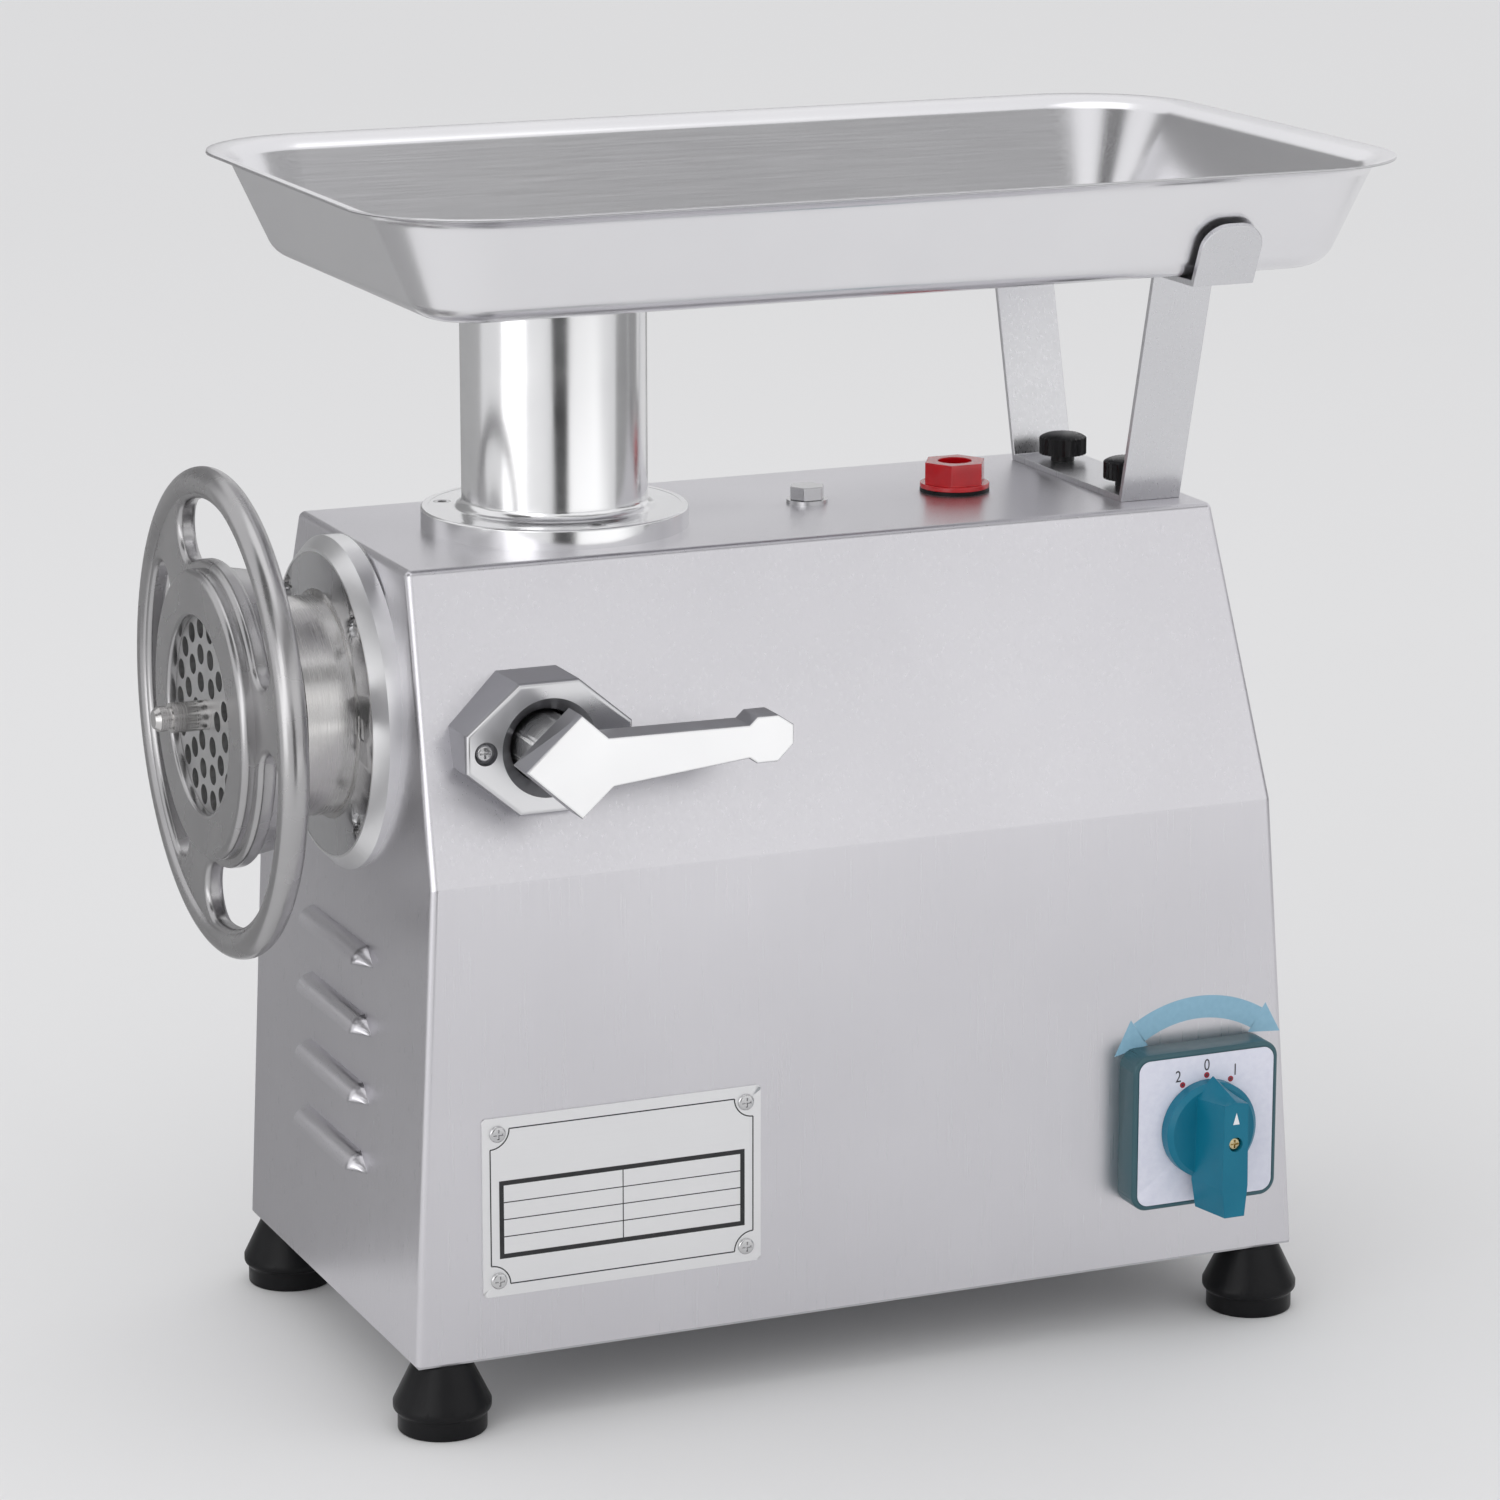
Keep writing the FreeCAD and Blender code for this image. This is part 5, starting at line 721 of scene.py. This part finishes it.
def window_outline(bm, turn, grow, height):
    """Kidney-shaped loop between two spokes, grown outwards by a distance."""
    known = set(bm.edges)
    radius = (WINDOW_INNER + WINDOW_OUTER) / 2
    end = (WINDOW_OUTER - WINDOW_INNER) / 2
    half = 180 / SPOKES - math.degrees((SPOKE_WIDTH / 2 + end) / radius)
    first_ray = ray(turn - half)
    last_ray = ray(turn + half)
    lift = Vector((0, 0, height))
    first = bm.verts.new(first_ray * (radius + end + grow) + lift)
    corner = chain(bm, first, lift, 2 * half, WINDOW_STEPS)
    corner = chain(bm, corner, last_ray * radius + lift, 180, WINDOW_END_STEPS)
    corner = chain(bm, corner, lift, -2 * half, WINDOW_STEPS)
    corner = chain(bm, corner, first_ray * radius + lift, 180, WINDOW_END_STEPS)
    bmesh.ops.remove_doubles(bm, verts=[first, corner], dist=MERGE)
    return [edge for edge in bm.edges if edge not in known]


def ring_outline(bm, radius, centre, steps=ROUND_STEPS):
    """Level round loop of edges about a centre."""
    place = Matrix.Translation(centre)
    ring = bmesh.ops.create_circle(bm, segments=steps, radius=radius, matrix=place)["verts"]
    return list(dict.fromkeys(edge for vert in ring for edge in vert.link_edges))


def add_web(bm, rim_radius):
    """Flat web between cup and rim; the edges of its windows are rounded over."""
    top = -RIM_SETBACK + WEB / 2
    foot = -RIM_SETBACK - WEB / 2
    faces = {}
    for height in (top, foot):
        centre = (0, 0, height)
        faces[height] = ring_outline(bm, WEB_INNER, centre) + ring_outline(bm, rim_radius, centre)
    upper = arc((WEB_ROUND, top - WEB_ROUND), WEB_ROUND, 90, 90, EDGE_STEPS)
    lower = arc((WEB_ROUND, foot + WEB_ROUND), WEB_ROUND, 180, 90, EDGE_STEPS)
    for spoke in range(SPOKES):
        turn = SPOKE_TURN + (spoke + 0.5) * 360 / SPOKES
        loops = [window_outline(bm, turn, grow, height) for grow, height in upper + lower]
        for pair in zip(loops, loops[1:]):
            bmesh.ops.bridge_loops(bm, edges=pair[0] + pair[1])
        faces[top] += loops[0]
        faces[foot] += loops[-1]
    for outline in faces.values():
        bmesh.ops.triangle_fill(bm, edges=outline, use_beauty=True)
    bmesh.ops.recalc_face_normals(bm, faces=bm.faces)


def cup_profile():
    """Outline of the cup: from its opening over the outside to the back, and along the thread."""
    lip = CUP_ROUND / 2
    return [
        (CUP_OPENING, -CUP_LIP),
        *arc((CUP_OPENING + lip, -lip), lip, 180, -90, CUP_LIP_STEPS),
        *arc((CUP_RADIUS - CUP_ROUND, -CUP_ROUND), CUP_ROUND, 90, -90, CUP_ROUND_STEPS),
        (CUP_RADIUS, -CUP_LENGTH / 2),
        (CUP_BACK_RADIUS, CUP_BACK_EDGE - CUP_LENGTH),
        (CUP_BACK_RADIUS - CUP_BACK_EDGE, -CUP_LENGTH),
        (CUP_THREAD, -CUP_LENGTH),
        (CUP_THREAD, -CUP_LIP),
        (CUP_OPENING, -CUP_LIP),
    ]


def add_hand_wheel():
    """Cup, web and rim, made round the Z axis with the cup's mouth at zero."""
    node = "hand_wheel"
    rim_radius = (high(node).z - low(node).z) / 2 - RIM_SECTION
    bm = bmesh.new()
    add_web(bm, rim_radius)
    turned(bm, arc((rim_radius, -RIM_SETBACK), RIM_SECTION, 0, 360, RIM_STEPS), ROUND_STEPS)
    turned(bm, cup_profile(), ROUND_STEPS)
    repeat(bm, [Matrix.Translation((low(node).x, middle(node).y, middle(node).z)) @ TO_LEFT])
    piece = make_piece("hand_wheel_turned", bm, WHEEL_STEEL, node)
    even_shading(piece)
    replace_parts(piece, node)


# Turned edges laid on the flanges and the barrel's neck, and the stud in front of the cutting plate

TRIM = 0.04
FLANGE_RADIUS = 67.0
FLANGE_BEVEL = 5.0
FLANGE_FACE = 61.0
FLANGE_DEPTH = 12.0
NECK_FLANGE = 8.0
NECK_FLANGE_RADIUS = 54.0
NECK_FLANGE_FACE = 51.0
NECK_FLANGE_ROUND = 0.9
BARREL_NECK = 24.0
BARREL_NECK_RADIUS = 44.0
STUD_TIP = ((0.0, 0.0), (3.6, 0.0), (5.1, -2.0), (5.1, -5.0), (4.2, -5.2), (4.2, -6.8), (6.0, -7.0))


def add_turned(name, profile, place, finish, node):
    """Piece turned round the Z axis and put in its place."""
    bm = bmesh.new()
    turned(bm, profile, ROUND_STEPS)
    repeat(bm, [place])
    piece = make_piece(name, bm, finish, node)
    even_shading(piece)
    return piece


def add_head_edges():
    """Bevel of the head's flange, barrel neck, stud, and the round edge of the feed neck's flange."""
    axis = middle("hand_wheel")
    seat = Matrix.Translation((low("head_seat").x, axis.y, axis.z)) @ TO_LEFT
    outer = FLANGE_RADIUS + TRIM
    bevel = [
        (FLANGE_FACE, TRIM),
        (outer - FLANGE_BEVEL, TRIM),
        (outer, -FLANGE_BEVEL),
        (outer, -FLANGE_DEPTH),
    ]
    add_turned("head_seat_bevel", bevel, seat, SATIN_CAST, "head_seat")
    neck = [(BARREL_NECK_RADIUS + TRIM, 0.0), (BARREL_NECK_RADIUS + TRIM, BARREL_NECK)]
    add_turned("barrel_neck", neck, seat, HEAD_STEEL, "barrel")
    node = "auger_stud"
    tip = Matrix.Translation((low(node).x, axis.y, axis.z)) @ TO_LEFT
    length = high(node).x - low(node).x
    stud = [*STUD_TIP, (STUD_TIP[-1][0], -length), (0.0, -length)]
    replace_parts(add_turned("auger_stud_turned", stud, tip, HEAD_STEEL, node), node)
    top = high("housing_shell").z + NECK_FLANGE
    foot = Matrix.Translation((middle("feed_neck").x, middle("feed_neck").y, top))
    reach = NECK_FLANGE_RADIUS + TRIM - NECK_FLANGE_ROUND
    edge = arc((reach, TRIM - NECK_FLANGE_ROUND), NECK_FLANGE_ROUND, 90, -90, EDGE_STEPS)
    rim = [(NECK_FLANGE_FACE, TRIM), *edge, (NECK_FLANGE_RADIUS + TRIM, -NECK_FLANGE)]
    add_turned("feed_neck_rim", rim, foot, POLISHED, "feed_neck")


# Loading tray: pressed pan with a nearly level lip, sloping walls, a rounded foot and a spigot

TRAY_CORNER = 52.0
TRAY_CORNER_STEPS = 112
TRAY_SHEET = 1.0
TRAY_DEPTH = 44.5
TRAY_LIP = 9.0
TRAY_LIP_RISE = 2.0
TRAY_FOOT_INSET = 28.2
TRAY_FLOOR_INSET = 44.0
TRAY_LIP_ROUND = 3.5
TRAY_FOOT_ROUND = 8.0
SPIGOT_RADIUS = 28.7
SPIGOT_STEPS = 64
TRAY_CORNERS = [(x, y) for x in (-1, 1) for y in (-1, 1)]


def quarter(verts, side_x, side_y):
    """Corners in one quarter of a shape centred on zero."""
    return [vert for vert in verts if vert.co.x * side_x > 0 and vert.co.y * side_y > 0]


def rim_loop(bm, half_x, half_y, height):
    """Loop of edges round the tray's rim; the halves give the centres of its round corners."""
    half_step = Matrix.Rotation(math.pi / TRAY_CORNER_STEPS, 4, "Z")
    place = Matrix.Translation((0, 0, height)) @ half_step
    ring = bmesh.ops.create_circle(
        bm, segments=TRAY_CORNER_STEPS, radius=TRAY_CORNER, matrix=place
    )["verts"]
    for verts, (x, y) in [(quarter(ring, x, y), (x, y)) for x, y in TRAY_CORNERS]:
        bmesh.ops.translate(bm, vec=(x * half_x, y * half_y, 0), verts=verts)
    return bm.edges[:]


def next_loop(bm, edges, half_x, half_y, size, rise):
    """Grows a wall from a loop, with its corners scaled and its level changed; gives the far loop."""
    verts = verts_of(bmesh.ops.extrude_edge_only(bm, edges=edges)["geom"])
    for x, y in TRAY_CORNERS:
        centre = Matrix.Translation((-x * half_x, -y * half_y, 0))
        bmesh.ops.scale(bm, vec=(size, size, 1), space=centre, verts=quarter(verts, x, y))
    bmesh.ops.translate(bm, vec=(0, 0, rise), verts=verts)
    fresh = set(verts)
    return [edge for edge in bm.edges if fresh.issuperset(edge.verts)]


def add_spigot(bm, edges, centre, foot):
    """Fills the tray's floor round a hole and draws the hole's edge down to a foot."""
    hole = ring_outline(bm, SPIGOT_RADIUS, centre, SPIGOT_STEPS)
    bmesh.ops.triangle_fill(bm, edges=edges + hole, use_beauty=True)
    skirt = bmesh.ops.extrude_edge_only(bm, edges=hole)["geom"]
    bmesh.ops.translate(bm, vec=(0, 0, foot - centre[2]), verts=verts_of(skirt))


def add_tray():
    """Pan made from its rim downwards, then given the thickness of its sheet."""
    node = "tray"
    half_x = (high(node).x - low(node).x) / 2 - TRAY_CORNER
    half_y = (high(node).y - low(node).y) / 2 - TRAY_CORNER
    rim = high(node).z - TRAY_SHEET
    floor = high(node).z - TRAY_DEPTH
    bm = bmesh.new()
    edges = rim_loop(bm, half_x, half_y, rim)
    inset = 0.0
    level = rim
    loops = []
    for next_inset, next_level in (
        (TRAY_LIP, rim - TRAY_LIP_RISE),
        (TRAY_FOOT_INSET, floor),
        (TRAY_FLOOR_INSET, floor),
    ):
        size = (TRAY_CORNER - next_inset) / (TRAY_CORNER - inset)
        edges = next_loop(bm, edges, half_x, half_y, size, next_level - level)
        loops.append(edges)
        inset = next_inset
        level = next_level
    neck = middle("feed_neck").x - middle(node).x
    add_spigot(bm, edges, (neck, 0, floor), low(node).z)
    for loop, soft in zip(loops, (TRAY_LIP_ROUND, TRAY_FOOT_ROUND)):
        bmesh.ops.bevel(
            bm,
            geom=loop,
            offset=soft,
            affect="EDGES",
            segments=EDGE_STEPS,
            profile=0.5,
            material=-1,
        )
    bmesh.ops.recalc_face_normals(bm, faces=bm.faces)
    if max(bm.faces, key=lambda face: face.calc_area()).normal.z > 0:
        bmesh.ops.reverse_faces(bm, faces=bm.faces)
    bmesh.ops.translate(bm, vec=(middle(node).x, middle(node).y, 0), verts=bm.verts)
    piece = make_piece("tray_pressed", bm, TRAY_STEEL, node)
    sheet = piece.modifiers.new("sheet", "SOLIDIFY")
    sheet.thickness = TRAY_SHEET * MM
    sheet.offset = -1.0
    sheet.use_even_offset = True
    even_shading(piece)
    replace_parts(piece, node)


# Strap under the tray: its tabs stand close to the tray's walls

STRAP_EDGE = 0.4
TAB_START = 100.0
TAB_DRAWN_IN = 9.0


def add_strap():
    """Copy of the strap with both tabs drawn in towards the tray."""
    node = "tray_bracket"
    bm = merged_copy(node, panels=True)
    for side in (-1, 1):
        tab = [vert for vert in bm.verts if vert.co.y * side > TAB_START]
        bmesh.ops.translate(bm, vec=(0, -side * TAB_DRAWN_IN, 0), verts=tab)
    piece = make_piece("tray_bracket_skin", bm, STRAP_STEEL, node)
    soften(piece, STRAP_EDGE)
    even_shading(piece)
    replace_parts(piece, node)


# Printed marks: flat shapes in the XY plane, made into thin films and turned to the front

FILM = 0.06


def strip(bm, left, foot, right, head):
    """Flat rectangle between two corners."""
    square = bmesh.ops.create_grid(bm, x_segments=1, y_segments=1, size=0.5)["verts"]
    bmesh.ops.scale(bm, vec=(right - left, head - foot, 1), verts=square)
    bmesh.ops.translate(bm, vec=((left + right) / 2, (foot + head) / 2, 0), verts=square)


def band(bm, centre, radius, width, start, sweep, steps):
    """Flat band along an arc, its angles in degrees from the X axis."""
    hub = Vector((*centre, 0))
    ends = [bm.verts.new(hub + ray(start) * (radius + side * width / 2)) for side in (-1, 1)]
    across = bm.edges.new(ends)
    bmesh.ops.spin(
        bm, geom=ends + [across], cent=hub, axis=(0, 0, 1), angle=math.radians(sweep), steps=steps
    )


def film(name, bm, finish, node, face):
    """Makes flat shapes a thin film on the front of a node, at a depth along Y."""
    bmesh.ops.remove_doubles(bm, verts=bm.verts, dist=MERGE)
    upper = bmesh.ops.extrude_face_region(bm, geom=bm.faces[:], use_keep_orig=True)["geom"]
    bmesh.ops.translate(bm, vec=(0, 0, FILM), verts=verts_of(upper))
    bmesh.ops.recalc_face_normals(bm, faces=bm.faces)
    bmesh.ops.transform(bm, matrix=Matrix.Translation((0, face, 0)) @ TO_FRONT, verts=bm.verts)
    make_piece(name, bm, finish, node)


# Rating plate's lines: thin border that steps round the screws, and a bare table
BORDER_SIDE = 3.4
BORDER_TOP = 4.75
BORDER_LINE = 0.5
BORDER_CORNER = 8.0
BORDER_STEPS = 10
TABLE_SIDE = 7.0
TABLE_TOP = 26.0
TABLE_FOOT = 15.4
TABLE_FRAME = 1.9
TABLE_LINE = 0.4
TABLE_ROWS = 4


def inside_plate(side, foot, top):
    """Left, right, foot and head of a frame, from its distances to the rating plate's edges."""
    lowest = low("rating_plate")
    highest = high("rating_plate")
    return lowest.x + side, highest.x - side, lowest.z + foot, highest.z - top


def draw_border(bm):
    """Thin border with hollow corners round the plate's screws."""
    left, right, foot, head = inside_plate(BORDER_SIDE, BORDER_TOP, BORDER_TOP)
    half = BORDER_LINE / 2
    for height in (foot, head):
        strip(bm, left + BORDER_CORNER, height - half, right - BORDER_CORNER, height + half)
    for side in (left, right):
        strip(bm, side - half, foot + BORDER_CORNER, side + half, head - BORDER_CORNER)
    around = ((left, foot), (right, foot), (right, head), (left, head))
    for turn, corner in enumerate(around):
        band(bm, corner, BORDER_CORNER, BORDER_LINE, 90 * turn, 90, BORDER_STEPS)


def draw_table(bm):
    """Empty table of two columns."""
    left, right, foot, head = inside_plate(TABLE_SIDE, TABLE_FOOT, TABLE_TOP)
    strip(bm, left, foot, right, foot + TABLE_FRAME)
    strip(bm, left, head - TABLE_FRAME, right, head)
    strip(bm, left, foot + TABLE_FRAME, left + TABLE_FRAME, head - TABLE_FRAME)
    strip(bm, right - TABLE_FRAME, foot + TABLE_FRAME, right, head - TABLE_FRAME)
    half = TABLE_LINE / 2
    centre = (left + right) / 2
    strip(bm, centre - half, foot + TABLE_FRAME, centre + half, head - TABLE_FRAME)
    for row in range(1, TABLE_ROWS):
        height = foot + TABLE_FRAME + (head - foot - 2 * TABLE_FRAME) * row / TABLE_ROWS
        strip(bm, left + TABLE_FRAME, height - half, centre - half, height + half)
        strip(bm, centre + half, height - half, right - TABLE_FRAME, height + half)


def add_plate_lines():
    """Border and empty table on the rating plate."""
    bm = bmesh.new()
    draw_border(bm)
    draw_table(bm)
    film("rating_plate_lines", bm, INK, "rating_plate", low("rating_plate").y)


# Two-headed arrow over the switch: an arc with a head at each end, on the panel behind the plate
PLATE_SHEET_GAUGE = 0.8
ARROW_CENTRE = (148.2, 85.5)
ARROW_RADIUS = 51.9
ARROW_WIDTH = 9.6
ARROW_HALF_ANGLE = 31.7
ARROW_STEPS = 28
ARROW_HEADS = (
    ((109.8, 120.6), (117.1, 135.4), (125.0, 123.8)),
    ((186.5, 122.8), (171.6, 123.9), (179.5, 135.8)),
)


def add_arrow():
    """Plain blue film arrow that shows the two ways the switch turns the motor."""
    bm = bmesh.new()
    start = 90 - ARROW_HALF_ANGLE
    band(bm, ARROW_CENTRE, ARROW_RADIUS, ARROW_WIDTH, start, 2 * ARROW_HALF_ANGLE, ARROW_STEPS)
    for head in ARROW_HEADS:
        bm.faces.new([bm.verts.new((x, z, 0)) for x, z in head])
    film("turning_arrow", bm, ARROW_BLUE, "housing_shell", low("rating_plate").y + PLATE_SHEET_GAUGE)


# Switch marks: digits and dots on circles round the knob, at three positions
DIGIT_SIZE = 7.0
DIGIT_NARROW = 0.8
DIGIT_CIRCLE = 26.3
DOT_CIRCLE = 22.2
DOT_RADIUS = 1.25
DOT_CENTRE = 0.5
DOT_STEPS = 24
DOT_CENTRE_STEPS = 20
SWITCH_STEPS = (("2", -30), ("0", 0), ("1", 30))


def on_face(circle, turn):
    """Point on the switch face at a distance from its centre, turned clockwise from straight up."""
    centre = middle("switch_face")
    angle = math.radians(turn)
    return Vector((centre.x + circle * math.sin(angle), centre.z + circle * math.cos(angle), 0))


def add_digit(bm, digit, place):
    """Flat digit centred on a place."""
    curve = bpy.data.curves.new("digit", "FONT")
    curve.body = digit
    curve.size = DIGIT_SIZE
    curve.align_x = "CENTER"
    curve.align_y = "CENTER"
    letter = bpy.data.objects.new("digit", curve)
    mesh = bpy.data.meshes.new_from_object(letter)
    known = set(bm.verts)
    bm.from_mesh(mesh)
    fresh = [vert for vert in bm.verts if vert not in known]
    bmesh.ops.scale(bm, vec=(DIGIT_NARROW, 1, 1), verts=fresh)
    bmesh.ops.translate(bm, vec=place, verts=fresh)
    bpy.data.objects.remove(letter)
    bpy.data.curves.remove(curve)
    bpy.data.meshes.remove(mesh)


def add_switch_marks():
    """Digits 2, 0 and 1, and under each a red dot with a dark centre."""
    digits = bmesh.new()
    dots = bmesh.new()
    centres = bmesh.new()
    for digit, turn in SWITCH_STEPS:
        add_digit(digits, digit, on_face(DIGIT_CIRCLE, turn))
        spot = on_face(DOT_CIRCLE, turn)
        band(dots, spot[:2], (DOT_RADIUS + DOT_CENTRE) / 2, DOT_RADIUS - DOT_CENTRE, 0, 360, DOT_STEPS)
        place = Matrix.Translation(spot)
        bmesh.ops.create_circle(
            centres, cap_ends=True, segments=DOT_CENTRE_STEPS, radius=DOT_CENTRE, matrix=place
        )
    face = low("switch_face").y
    film("switch_digits", digits, DIGIT_INK, "switch_face", face)
    film("switch_dots", dots, RED_INK, "switch_face", face)
    film("switch_dot_centres", centres, DIGIT_INK, "switch_face", face)


# Dressing the object: sharp edges of the bolt, the feet and the plastic caps are softened

BOLT_EDGE = 0.5
FOOT_EDGE = 0.8
CAP_EDGE = 0.9

skin(BODY_STEEL, ["housing_shell"], panels=True)
skin(ZINC, ["base_plate"])
skin(POLISHED, ["feed_neck"])
# The faces of the clamp block and lever that are off the front, and the head's casting, are darker as
# painted shade
skin(BLOCK_CAST, ["clamp_block"], crease=FACETED, sides=SHADED_CAST_SIDES)
skin(SHADED_HEAD_CAST, ["head_seat"])
skin(LEVER_CAST, ["clamp_lever"], sides=SHADED_CAST_SIDES)
skin(HEAD_STEEL, ["barrel", "auger", "knife"])
skin(SPINDLE_STEEL, ["clamp_spindle"])
skin(PLATE_STEEL, ["cutting_plate"])
skin(SCREW_STEEL, ["barrel_key", "top_bolt_washer"])
skin(SCREW_STEEL, ["top_bolt"], BOLT_EDGE)
skin(PLATE_SHEET, ["rating_plate"])
skin(RUBBER, ["foot_front_left", "foot_front_right", "foot_rear_left", "foot_rear_right"], FOOT_EDGE)
skin(RUBBER, ["oil_plug_gasket"])
skin(BLACK_PLASTIC, ["cable_gland"])
skin(DARK_TEAL, ["switch_bezel"])
skin(TEAL, ["switch_knob"], CAP_EDGE)
skin(WHITE_FACE, ["switch_face"])
skin(RED_PLUG, ["oil_plug"], CAP_EDGE)

paint(SCREW_STEEL, ["plate_pin", "foot_bolts", "gearbox_bolts", "cover_screws", "motor_tie_bolts"])
paint(RAW_CASTING, ["gearbox_case", "gearbox_cover", "motor_end_bells"])
paint(GEAR_STEEL, ["output_shaft", "output_gear", "counter_shaft", "counter_gear", "motor_pinion"])
paint(GEAR_STEEL, ["output_bearings", "counter_bearings", "motor_bearings"])
paint(GEAR_STEEL, ["motor_rotor", "switch_spindle"])
paint(LAMINATIONS, ["motor_stator"])
paint(RUBBER, ["output_seal"])
paint(BLACK_PLASTIC, ["switch_body", "motor_fan", "capacitor", "cable_gland_nut"])

add_screws()
add_thumb_screw("thumb_screw_front")
add_thumb_screw("thumb_screw_rear")
add_hand_wheel()
add_head_edges()
add_tray()
add_strap()
add_plate_lines()
add_arrow()
add_switch_marks()


# Studio, in metres: pale floor, soft boxes, cards seen only in the metal, plain world

FLOOR_RADIUS = 60.0
FLOOR_STEPS = 64
FLOOR_CLOUDS = 0.6
FLOOR_PAPER = (0.8, 0.8, 0.8)
FLOOR_PAPER_LIGHT = (0.81, 0.81, 0.81)
CARD_CLOUDS = 3.0
CARD_VARIATION = 1.1
WORLD_SHADE = (0.8, 0.8, 0.81)
WORLD_STRENGTH = 1.1


def add_floor():
    """Wide pale floor that fills the view."""
    bm = bmesh.new()
    bmesh.ops.create_circle(bm, cap_ends=True, segments=FLOOR_STEPS, radius=FLOOR_RADIUS)
    mesh = bpy.data.meshes.new("floor")
    bm.to_mesh(mesh)
    bm.free()
    finish = Finish("floor_paper", FLOOR_PAPER, roughness=0.9)
    finish.colours(finish.noise(FLOOR_CLOUDS), FLOOR_PAPER, FLOOR_PAPER_LIGHT)
    finish.set("Specular IOR Level", 0.1)
    mesh.materials.append(finish.material)
    floor = bpy.data.objects.new("floor", mesh)
    scene.collection.objects.link(floor)


def add_soft_box(name, place, aim, width, height, watts):
    """Rectangular soft light aimed at a point."""
    data = bpy.data.lights.new(name, "AREA")
    data.shape = "RECTANGLE"
    data.size = width
    data.size_y = height
    data.energy = watts
    lamp = bpy.data.objects.new(name, data)
    lamp.location = place
    lamp.rotation_euler = (Vector(aim) - Vector(place)).to_track_quat("-Z", "Y").to_euler()
    scene.collection.objects.link(lamp)


def add_card(name, place, aim, width, height, shade, glow=0.0):
    """Studio card that only mirrors in the metal, dark or lit from within."""
    bm = bmesh.new()
    bmesh.ops.create_grid(bm, x_segments=1, y_segments=1, size=0.5)
    bmesh.ops.scale(bm, vec=(width, height, 1), verts=bm.verts)
    turn = (Vector(aim) - Vector(place)).to_track_quat("Z", "Y").to_matrix().to_4x4()
    bmesh.ops.transform(bm, matrix=Matrix.Translation(place) @ turn, verts=bm.verts)
    mesh = bpy.data.meshes.new(name)
    bm.to_mesh(mesh)
    bm.free()
    plain = (shade, shade, shade)
    varied = tuple(tone * CARD_VARIATION for tone in plain)
    finish = Finish(name + "_cloth", plain, roughness=1.0)
    finish.colours(finish.noise(CARD_CLOUDS), plain, varied)
    finish.set("Emission Color", (1.0, 1.0, 1.0, 1.0))
    finish.set("Emission Strength", glow)
    mesh.materials.append(finish.material)
    card = bpy.data.objects.new(name, mesh)
    card.visible_camera = False
    card.visible_diffuse = False
    card.visible_shadow = False
    scene.collection.objects.link(card)


def add_world():
    """Even pale surround, the same for the camera and for reflections."""
    world = bpy.data.worlds.new("studio")
    scene.world = world
    world.use_nodes = True
    back = world.node_tree.nodes["Background"]
    back.inputs["Color"].default_value = (*WORLD_SHADE, 1.0)
    back.inputs["Strength"].default_value = WORLD_STRENGTH


add_camera()
add_floor()
add_world()

# Each soft box: place, aim, width, height and watts
add_soft_box("top_box", (-0.3, -0.2, 2.4), (0.0, 0.0, 0.2), 2.0, 1.6, 5.0)
add_soft_box("left_box", (-2.2, -1.8, 1.3), (0.0, 0.0, 0.25), 1.4, 1.6, 8.0)
add_soft_box("low_left_box", (-1.7, -0.55, 0.3), (-0.1, 0.0, 0.38), 0.9, 0.6, 1.9)

# Each card: place, aim, width, height, shade and, where it is lit from within, its glow
add_card("rear_card", (-0.2, 0.85, 0.2), (-0.1, 0.0, 0.2), 2.2, 0.4, 0.4)
add_card("left_floor_card", (-0.65, 0.55, 0.003), (-0.65, 0.551, 1.0), 0.9, 0.9, 0.34)
add_card("right_card", (1.1, -0.2, 0.2), (-0.1, 0.0, 0.38), 0.9, 0.5, 0.3)
add_card("front_high_card", (0.8, -1.1, 1.54), (0.2, 0.1, 0.46), 3.2, 0.56, 0.4)
add_card("front_sky_card", (0.9, -1.95, 1.02), (0.0, -0.1, 0.26), 2.4, 0.5, 0.05, 1.0)
add_card("back_card", (0.2, 1.6, 0.82), (0.0, 0.0, 0.4), 3.2, 0.5, 0.8)
add_card("front_floor_card", (0.5, -1.6, 0.002), (0.5, -1.599, 1.0), 1.4, 1.2, 0.05, 1.2)
add_card("tray_card", (-0.25, 0.85, 0.64), (0.2, 0.0, 0.46), 0.8, 0.5, 0.3)
add_card("corner_card", (-0.85, -0.25, 1.17), (0.2, 0.1, 0.46), 0.6, 0.8, 0.12)
add_card("neck_card", (-0.3, -0.883, 0.25), (-0.093, 0.0, 0.38), 0.3, 0.5, 0.03)
